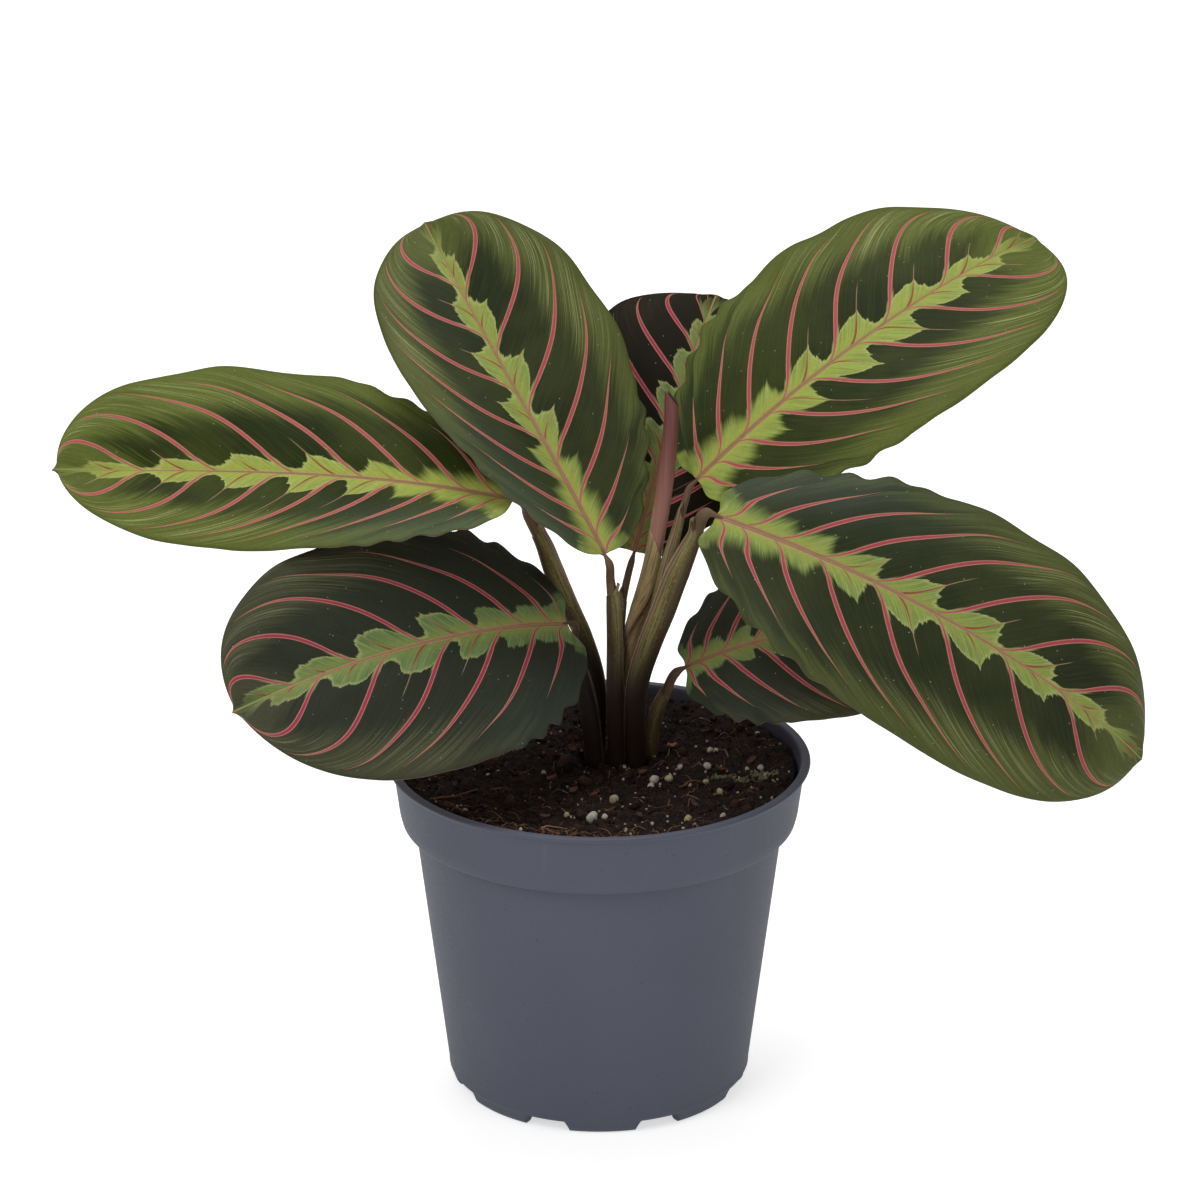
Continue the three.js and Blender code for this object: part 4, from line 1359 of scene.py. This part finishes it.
# Larger bits that show at the front: x, y, size and how yellow the grain is.
NOTABLE_GRAINS = (
    (-1.9, -36.0, 3.6, 0.1), (1.6, -36.4, 1.9, 0.2), (4.2, -23.7, 2.8, 0.6), (19.7, -11.4, 2.7, 0.6),
    (15.5, -10.3, 3.0, 0.1), (14.6, -13.5, 2.2, 0.2), (31.7, 12.8, 1.9, 0.2), (33.4, 12.2, 1.7, 0.2),
    (30.7, -2.0, 2.5, 0.2), (45.9, 0.9, 2.1, 0.2), (24.7, -35.4, 2.4, 0.8), (30.2, -9.2, 2.1, 0.7),
    (9.4, -28.7, 2.2, 0.4), (34.0, -17.0, 2.0, 0.8), (-37.2, -30.0, 1.5, 0.2), (-31.3, -5.8, 1.5, 0.2),
    (-28.6, -1.2, 1.3, 0.2), (15.5, 9.9, 2.0, 0.5), (7.0, 1.0, 2.0, 0.3), (25.6, -10.5, 1.3, 0.2),
    (38.1, -25.4, 1.4, 0.3), (14.7, -38.4, 1.2, 0.1), (-8.9, -34.2, 2.0, 0.7), (34.3, -36.0, 2.2, 0.5),
    (-15.6, -4.5, 1.6, 0.2), (23.1, 1.8, 1.9, 0.1), (42.0, 0.7, 1.5, 0.1), (45.7, 23.9, 1.5, 0.2),
)


class PLANT_OT_soil_bits(bpy.types.Operator):
    """Scatters crumbs, perlite, fibres, bark flakes and moss over the soil"""

    bl_idname = "plant.soil_bits"
    bl_label = "Soil bits"

    def execute(self, context):
        look = ready(context).plant_soil
        self.crumbs(look, random.Random(11))
        self.grains(look, random.Random(12))
        self.fibres(look, random.Random(13))
        self.bark(look, random.Random(14))
        self.moss(look, random.Random(15))
        return {"FINISHED"}

    def start(self):
        bm = bmesh.new()
        bm.verts.layers.float.new("shade")
        return bm

    def crumbs(self, look, rng):
        bm = self.start()
        for i in range(look.crumbs):
            x, y = free_spot(rng, 54.6)
            size = rng.uniform(0.7, 1.9) if i > 60 else rng.uniform(2.0, 4.2)
            z = soil_surface(look, x, y) + size * 0.15
            add_lump(bm, rng, (x, y, z), size, rng.random() ** 2, 2 if i <= 60 else 1, 0.75, 0.6)
        add_lump(bm, rng, (-9.5, 2.5, soil_surface(look, -9.5, 2.5) + 1.0), 5.5, 0.9, 2, 0.8, 0.6)
        finish_piece(bm, "soil_crumbs", "potting_soil", [soil_material(look)])

    def grains(self, look, rng):
        bm = self.start()
        for x, y, size, shade in NOTABLE_GRAINS:
            z = soil_surface(look, x, y) + size * 0.3
            add_lump(bm, rng, (x, y, z), size, shade, 2, 0.85, 0.35)
        for _ in range(look.grains):
            x, y = free_spot(rng)
            size = rng.uniform(0.35, 1.15)
            z = soil_surface(look, x, y) + size * 0.25
            add_lump(bm, rng, (x, y, z), size, rng.random(), 1, 0.85, 0.35)
        pale = bits_material("perlite", tuple(look.grain_colour), tint(178, 160, 98), 0.75)
        finish_piece(bm, "perlite_grains", "potting_soil", [pale])

    def fibres(self, look, rng):
        bm = self.start()
        for _ in range(look.fibres):
            x, y = free_spot(rng, 53)
            self.fibre(bm, look, rng, x, y, rng.uniform(3, 9), rng.uniform(0.08, 0.2))
        for _ in range(70):
            angle = rng.gauss(-1.75, 0.35)
            radius = rng.uniform(46, 53.5)
            x, y = radius * math.cos(angle), radius * math.sin(angle)
            self.fibre(bm, look, rng, x, y, rng.uniform(3, 8), rng.uniform(0.1, 0.22))
        add_fibre(bm, rng, look, (-47, -25), 0.55, 20, 0.35, 0.35, 0.4)
        add_fibre(bm, rng, look, (-17, -45), 0.4, 11, 0.3, 1.0, 1.2)
        tan = bits_material("root_fibres", tuple(look.fibre_colour), tint(176, 132, 96), 0.7)
        finish_piece(bm, "root_fibres", "potting_soil", [tan])

    def fibre(self, bm, look, rng, x, y, length, radius):
        heading = rng.uniform(0, 2 * math.pi)
        add_fibre(bm, rng, look, (x, y), heading, length, radius, rng.random() ** 1.5)

    def bark(self, look, rng):
        bm = self.start()
        layer = bm.verts.layers.float["shade"]
        flakes = [(21.1, 13.5, 5.2, 3.2, 1.0), (16.5, 14.5, 3.0, 2.0, 0.8)]
        for _ in range(26):
            spot = free_spot(rng, 52)
            flakes.append((*spot, rng.uniform(2, 4), rng.uniform(1, 2), rng.random() * 0.6))
        for x, y, long, wide, shade in flakes:
            turn = Euler((rng.uniform(-0.5, 0.5), rng.uniform(-0.5, 0.5), rng.uniform(0, 6.3)))
            grid = bmesh.ops.create_grid(bm, x_segments=6, y_segments=4, size=1)["verts"]
            middle = Vector((x, y, soil_surface(look, x, y) + 0.9))
            for v in grid:
                u, w = v.co.x, v.co.y
                dish = 0.35 * (u * u + 1.5 * w * w)
                shape = Vector((u * long / 2, w * wide / 2 * (1 - 0.35 * u * u), dish))
                shape.z += 0.3 * noise.noise(Vector((u, w, x)) * 1.5)
                v.co = middle + turn.to_matrix() @ shape
                v[layer] = shade
            faces = list({f for v in grid for f in v.link_faces})
            bmesh.ops.solidify(bm, geom=faces, thickness=0.35)
        bmesh.ops.recalc_face_normals(bm, faces=bm.faces)
        brown = bits_material("bark_flakes", tint(70, 48, 36), tint(158, 100, 66), 0.75)
        finish_piece(bm, "bark_flakes", "potting_soil", [brown])

    def moss(self, look, rng):
        bm = self.start()
        patches = ((35.4, -6.4, 3.6, 90), (47.0, -3.5, 3.2, 150), (40.7, -8.5, 3.0, 50), (34, -17, 2.0, 25))
        for x, y, spread, count in patches:
            for _ in range(count):
                a, b = x + rng.gauss(0, spread * 0.6), y + rng.gauss(0, spread * 0.35)
                if math.hypot(a, b) > 54:
                    continue
                size = rng.uniform(0.4, 1.2)
                z = soil_surface(look, a, b) + size * 0.2
                add_lump(bm, rng, (a, b, z), size, rng.random(), 1, 0.7, 0.7)
        green = bits_material("moss", tuple(look.moss_colour), tint(140, 142, 96), 0.85)
        finish_piece(bm, "moss_tufts", "potting_soil", [green])


class PLANT_OT_blades(bpy.types.Operator):
    """Builds the seven blades with their waved edges and veins"""

    bl_idname = "plant.blades"
    bl_label = "Blades"

    def execute(self, context):
        look = ready(context).plant_leaf
        for name, leaf in LEAVES.items():
            bm = build_blade(leaf, look)
            self.mark_underside(bm, look)
            upper = blade_material(f"blade_{name}_upper", leaf, look)
            under = underside_material(f"blade_{name}_under", leaf, look)
            finish_piece(bm, f"leaf_{name}", "leaf_blade", [upper, under], f"blade_{name}")
        return {"FINISHED"}

    def mark_underside(self, bm, look):
        """The grid's own faces come first; those of the extruded copy and the rim follow."""
        bm.faces.ensure_lookup_table()
        upper = look.columns * look.rows
        for face in bm.faces:
            face.material_index = 0 if face.index < upper else 1


def stalk_points(leaf):
    """A stalk's points from below the soil, with the last stretch in line with the blade."""
    origin, turn = midrib(leaf)[0]
    along = turn @ Vector((1, 0, 0))
    up = turn @ Vector((0, 0, 1))
    x, y, z, radius = leaf["stalk"][0]
    last = leaf["stalk"][-1][3] * 0.93
    behind = origin - along * (KNEE + GAP)
    under = origin + along * 5 - up * 0.9
    return [(x, y, z - HOLE_DEPTH + 1, radius * 0.9), *leaf["stalk"], (*behind, last), (*under, 0.5)]


FREE_TIP = 0.8
TIP_WIDTH = 0.13
SHEATH_WALL = 0.45
RIM_THINNING = 0.2
NECK_INSET = 0.35


class PLANT_OT_stalks(bpy.types.Operator):
    """Builds the seven stalks: a folded sheath with a free tip, and the thin neck that leaves it"""

    bl_idname = "plant.stalks"
    bl_label = "Stalks"

    def execute(self, context):
        look = ready(context).plant_stalk
        colours = [tuple(c) for c in (look.foot, look.sheath, look.neck, look.edge)]
        for name, leaf in LEAVES.items():
            path = Path(stalk_points(leaf))
            span = 1 / (len(path.points) - 1)
            bm = bmesh.new()
            self.sheath(bm, look, path, leaf["sheath"], span, math.radians(leaf["seam"]))
            self.neck(bm, look, path, leaf["sheath"], span)
            # a short stalk at the edge of the crown is in less shade than the others, so its painted shade
            # ends lower
            painted_shade_top = 114 if leaf["base"][2] < 130 else 152
            material = stalk_material(f"stalk_{name}_skin", *colours, painted_shade_top)
            finish_piece(bm, f"sheath_{name}", "leaf_stalk", [material], f"stalk_{name}")
        return {"FINISHED"}

    def sheath(self, bm, look, path, end, span, seam):
        """The lower stretch: its edge overlaps in a seam, which ends above in a free tip."""
        fold = look.fold / MM

        def near_seam(turn):
            return max(0.0, 1 - min(turn, 1 - turn) / TIP_WIDTH)

        def along(share, turn):
            slant = 0.1 * math.cos(2 * math.pi * turn) - 0.1
            return share * (end + span * (slant + 0.36 * near_seam(turn)))

        def place(share, turn):
            where = along(share, turn)
            radius = path.radius(where) + fold * max(0.0, turn - 0.45)
            # the free tip stands off the neck, and the rest of the rim thins out against it
            radius += FREE_TIP * near_seam(turn) * smoothstep(share, 0.93, 0.985)
            radius -= RIM_THINNING * (1 - near_seam(turn)) * smoothstep(share, 0.86, 1.0)
            if share > 1 - 0.5 / look.rings:
                radius -= SHEATH_WALL
            return path.around(where, radius, seam + 2 * math.pi * turn)

        tube(
            bm, look.sides, look.rings, place,
            along=along, folded=lambda share, turn: 1.0,
            wrap=lambda share, turn: max(turn, near_seam(turn) * smoothstep(share, 0.95, 0.985)),
        )

    def neck(self, bm, look, path, end, span):
        """The thin round stretch that rises out of the sheath and ends under the blade."""
        start = end - 1.2 * span

        def place(share, turn):
            where = mix(start, 1, share)
            thin = 1 - 0.45 * smoothstep(where, 1 - 1.1 * span, 1 - 0.5 * span)
            radius = max((path.radius(where) - NECK_INSET) * thin, 0.45)
            return path.around(where, radius, 2 * math.pi * turn)

        tube(
            bm, look.sides, look.rings // 2, place,
            along=lambda share, turn: mix(start, 1, share), folded=lambda share, turn: 0.0,
            wrap=lambda share, turn: turn,
        )


class PLANT_OT_new_leaf(bpy.types.Operator):
    """Builds the furled new leaf as a rolled sheet that stands in its own sheath"""

    bl_idname = "plant.new_leaf"
    bl_label = "New leaf"

    def execute(self, context):
        look = ready(context).plant_new_leaf
        x, y, z, radius = FURLED_PATH[0]
        path = Path([(x, y, z - HOLE_DEPTH + 1, radius * 0.9), *FURLED_PATH])
        self.roll(path, look)
        self.sheath(path, look)
        return {"FINISHED"}

    def share_at(self, path, height):
        """The share of the path where it reaches a height."""
        low, high = 0.0, 1.0
        for _ in range(30):
            middle = (low + high) / 2
            low, high = (middle, high) if path.at(middle).z < height else (low, middle)
        return low

    def roll(self, path, look):
        bm = bmesh.new()
        along = bm.verts.layers.float.new("along")
        wrap = bm.verts.layers.float.new("wrap")
        start = self.share_at(path, SHEATH_TOP - 20)
        grid = bmesh.ops.create_grid(bm, x_segments=84, y_segments=90, size=1)["verts"]
        for v in grid:
            up, inward = (v.co.y + 1) / 2, (v.co.x + 1) / 2
            share = mix(start, 1, up)
            point, right, back, forward = path.frame(share)
            # the outer edge of the sheet winds round the roll as it rises
            angle = math.radians(215) + inward * look.turns * 2 * math.pi - 0.9 * up
            outer = path.radius(share) - look.sheet / MM / 2
            spiral = outer * (1 - 0.62 * inward ** 0.9) + 0.12 * (1 - inward)
            open_mouth = smoothstep(up, 0.86, 1.0)
            spiral *= 1 + 0.22 * open_mouth * (1 - inward)
            lift = open_mouth * (2.2 * math.cos(angle - math.radians(180)) - 1.0 * inward)
            v.co = point + right * (spiral * math.cos(angle)) + back * (spiral * math.sin(angle))
            v.co += forward * lift
            v[along], v[wrap] = up, inward
        bmesh.ops.solidify(bm, geom=bm.faces[:], thickness=look.sheet / MM)
        bmesh.ops.recalc_face_normals(bm, faces=bm.faces)
        material = rolled_leaf_material(look)
        finish_piece(bm, "rolled_leaf", "new_leaf", [material], "furled_leaf")

    def sheath(self, path, look):
        bm = bmesh.new()
        end = self.share_at(path, SHEATH_TOP)

        def place(share, turn):
            # the seam winds half round the stalk before it ends
            angle = math.radians(-130 + 110 * smoothstep(share, 0.55, 1.0)) + 2 * math.pi * turn
            tip = 5.0 * smoothstep(share, 0.8, 1.0) * math.cos(angle - math.radians(200))
            forward = path.frame(share * end)[3]
            grow = 0.35 * smoothstep(share, 1.0, 0.85) + 0.12
            radius = path.radius(share * end) + grow * (turn - 0.3) - 0.05
            return path.around(share * end, radius, angle) + forward * tip

        tube(
            bm, 36, 90, place,
            along=lambda share, turn: share, wrap=lambda share, turn: turn,
            folded=lambda share, turn: 1.0,
        )
        # painted shade darkens this sheath towards the soil, into its dark foot colour, below 130 mm
        material = stalk_material(
            "new_leaf_sheath_skin", tint(66, 48, 42), tuple(look.sheath), tint(96, 70, 54),
            tint(150, 84, 74), painted_shade_top=130, far_side=0.2,
        )
        finish_piece(bm, "new_leaf_sheath", "new_leaf", [material], "furled_leaf")


class PLANT_PT_panel(bpy.types.Panel):
    """The plant's steps and settings"""

    bl_label = "Potted prayer plant"
    bl_idname = "PLANT_PT_panel"
    bl_space_type = "VIEW_3D"
    bl_region_type = "UI"
    bl_category = "Plant"

    def draw(self, context):
        layout = self.layout
        for step in STEPS:
            layout.operator(step.bl_idname)
        for holder in SETTINGS:
            box = layout.box()
            group = getattr(context.scene, holder)
            box.label(text=holder.removeprefix("plant_").replace("_", " ").capitalize())
            for name in group.__annotations__:
                box.prop(group, name)


SETTINGS = {
    "plant_pot": PotSettings,
    "plant_soil": SoilSettings,
    "plant_leaf": LeafSettings,
    "plant_stalk": StalkSettings,
    "plant_new_leaf": NewLeafSettings,
}
STEPS = (
    PLANT_OT_stage, PLANT_OT_pot, PLANT_OT_soil, PLANT_OT_soil_bits, PLANT_OT_blades,
    PLANT_OT_stalks, PLANT_OT_new_leaf,
)


def register():
    for cls in (*SETTINGS.values(), *STEPS, PLANT_PT_panel):
        bpy.utils.register_class(cls)
    for name, group in SETTINGS.items():
        setattr(bpy.types.Scene, name, PointerProperty(type=group))


def unregister():
    for name in SETTINGS:
        delattr(bpy.types.Scene, name)
    for cls in reversed((*SETTINGS.values(), *STEPS, PLANT_PT_panel)):
        bpy.utils.unregister_class(cls)


def main():
    register()
    for step in STEPS:
        group, name = step.bl_idname.split(".")
        getattr(getattr(bpy.ops, group), name)()


if __name__ == "__main__":
    main()
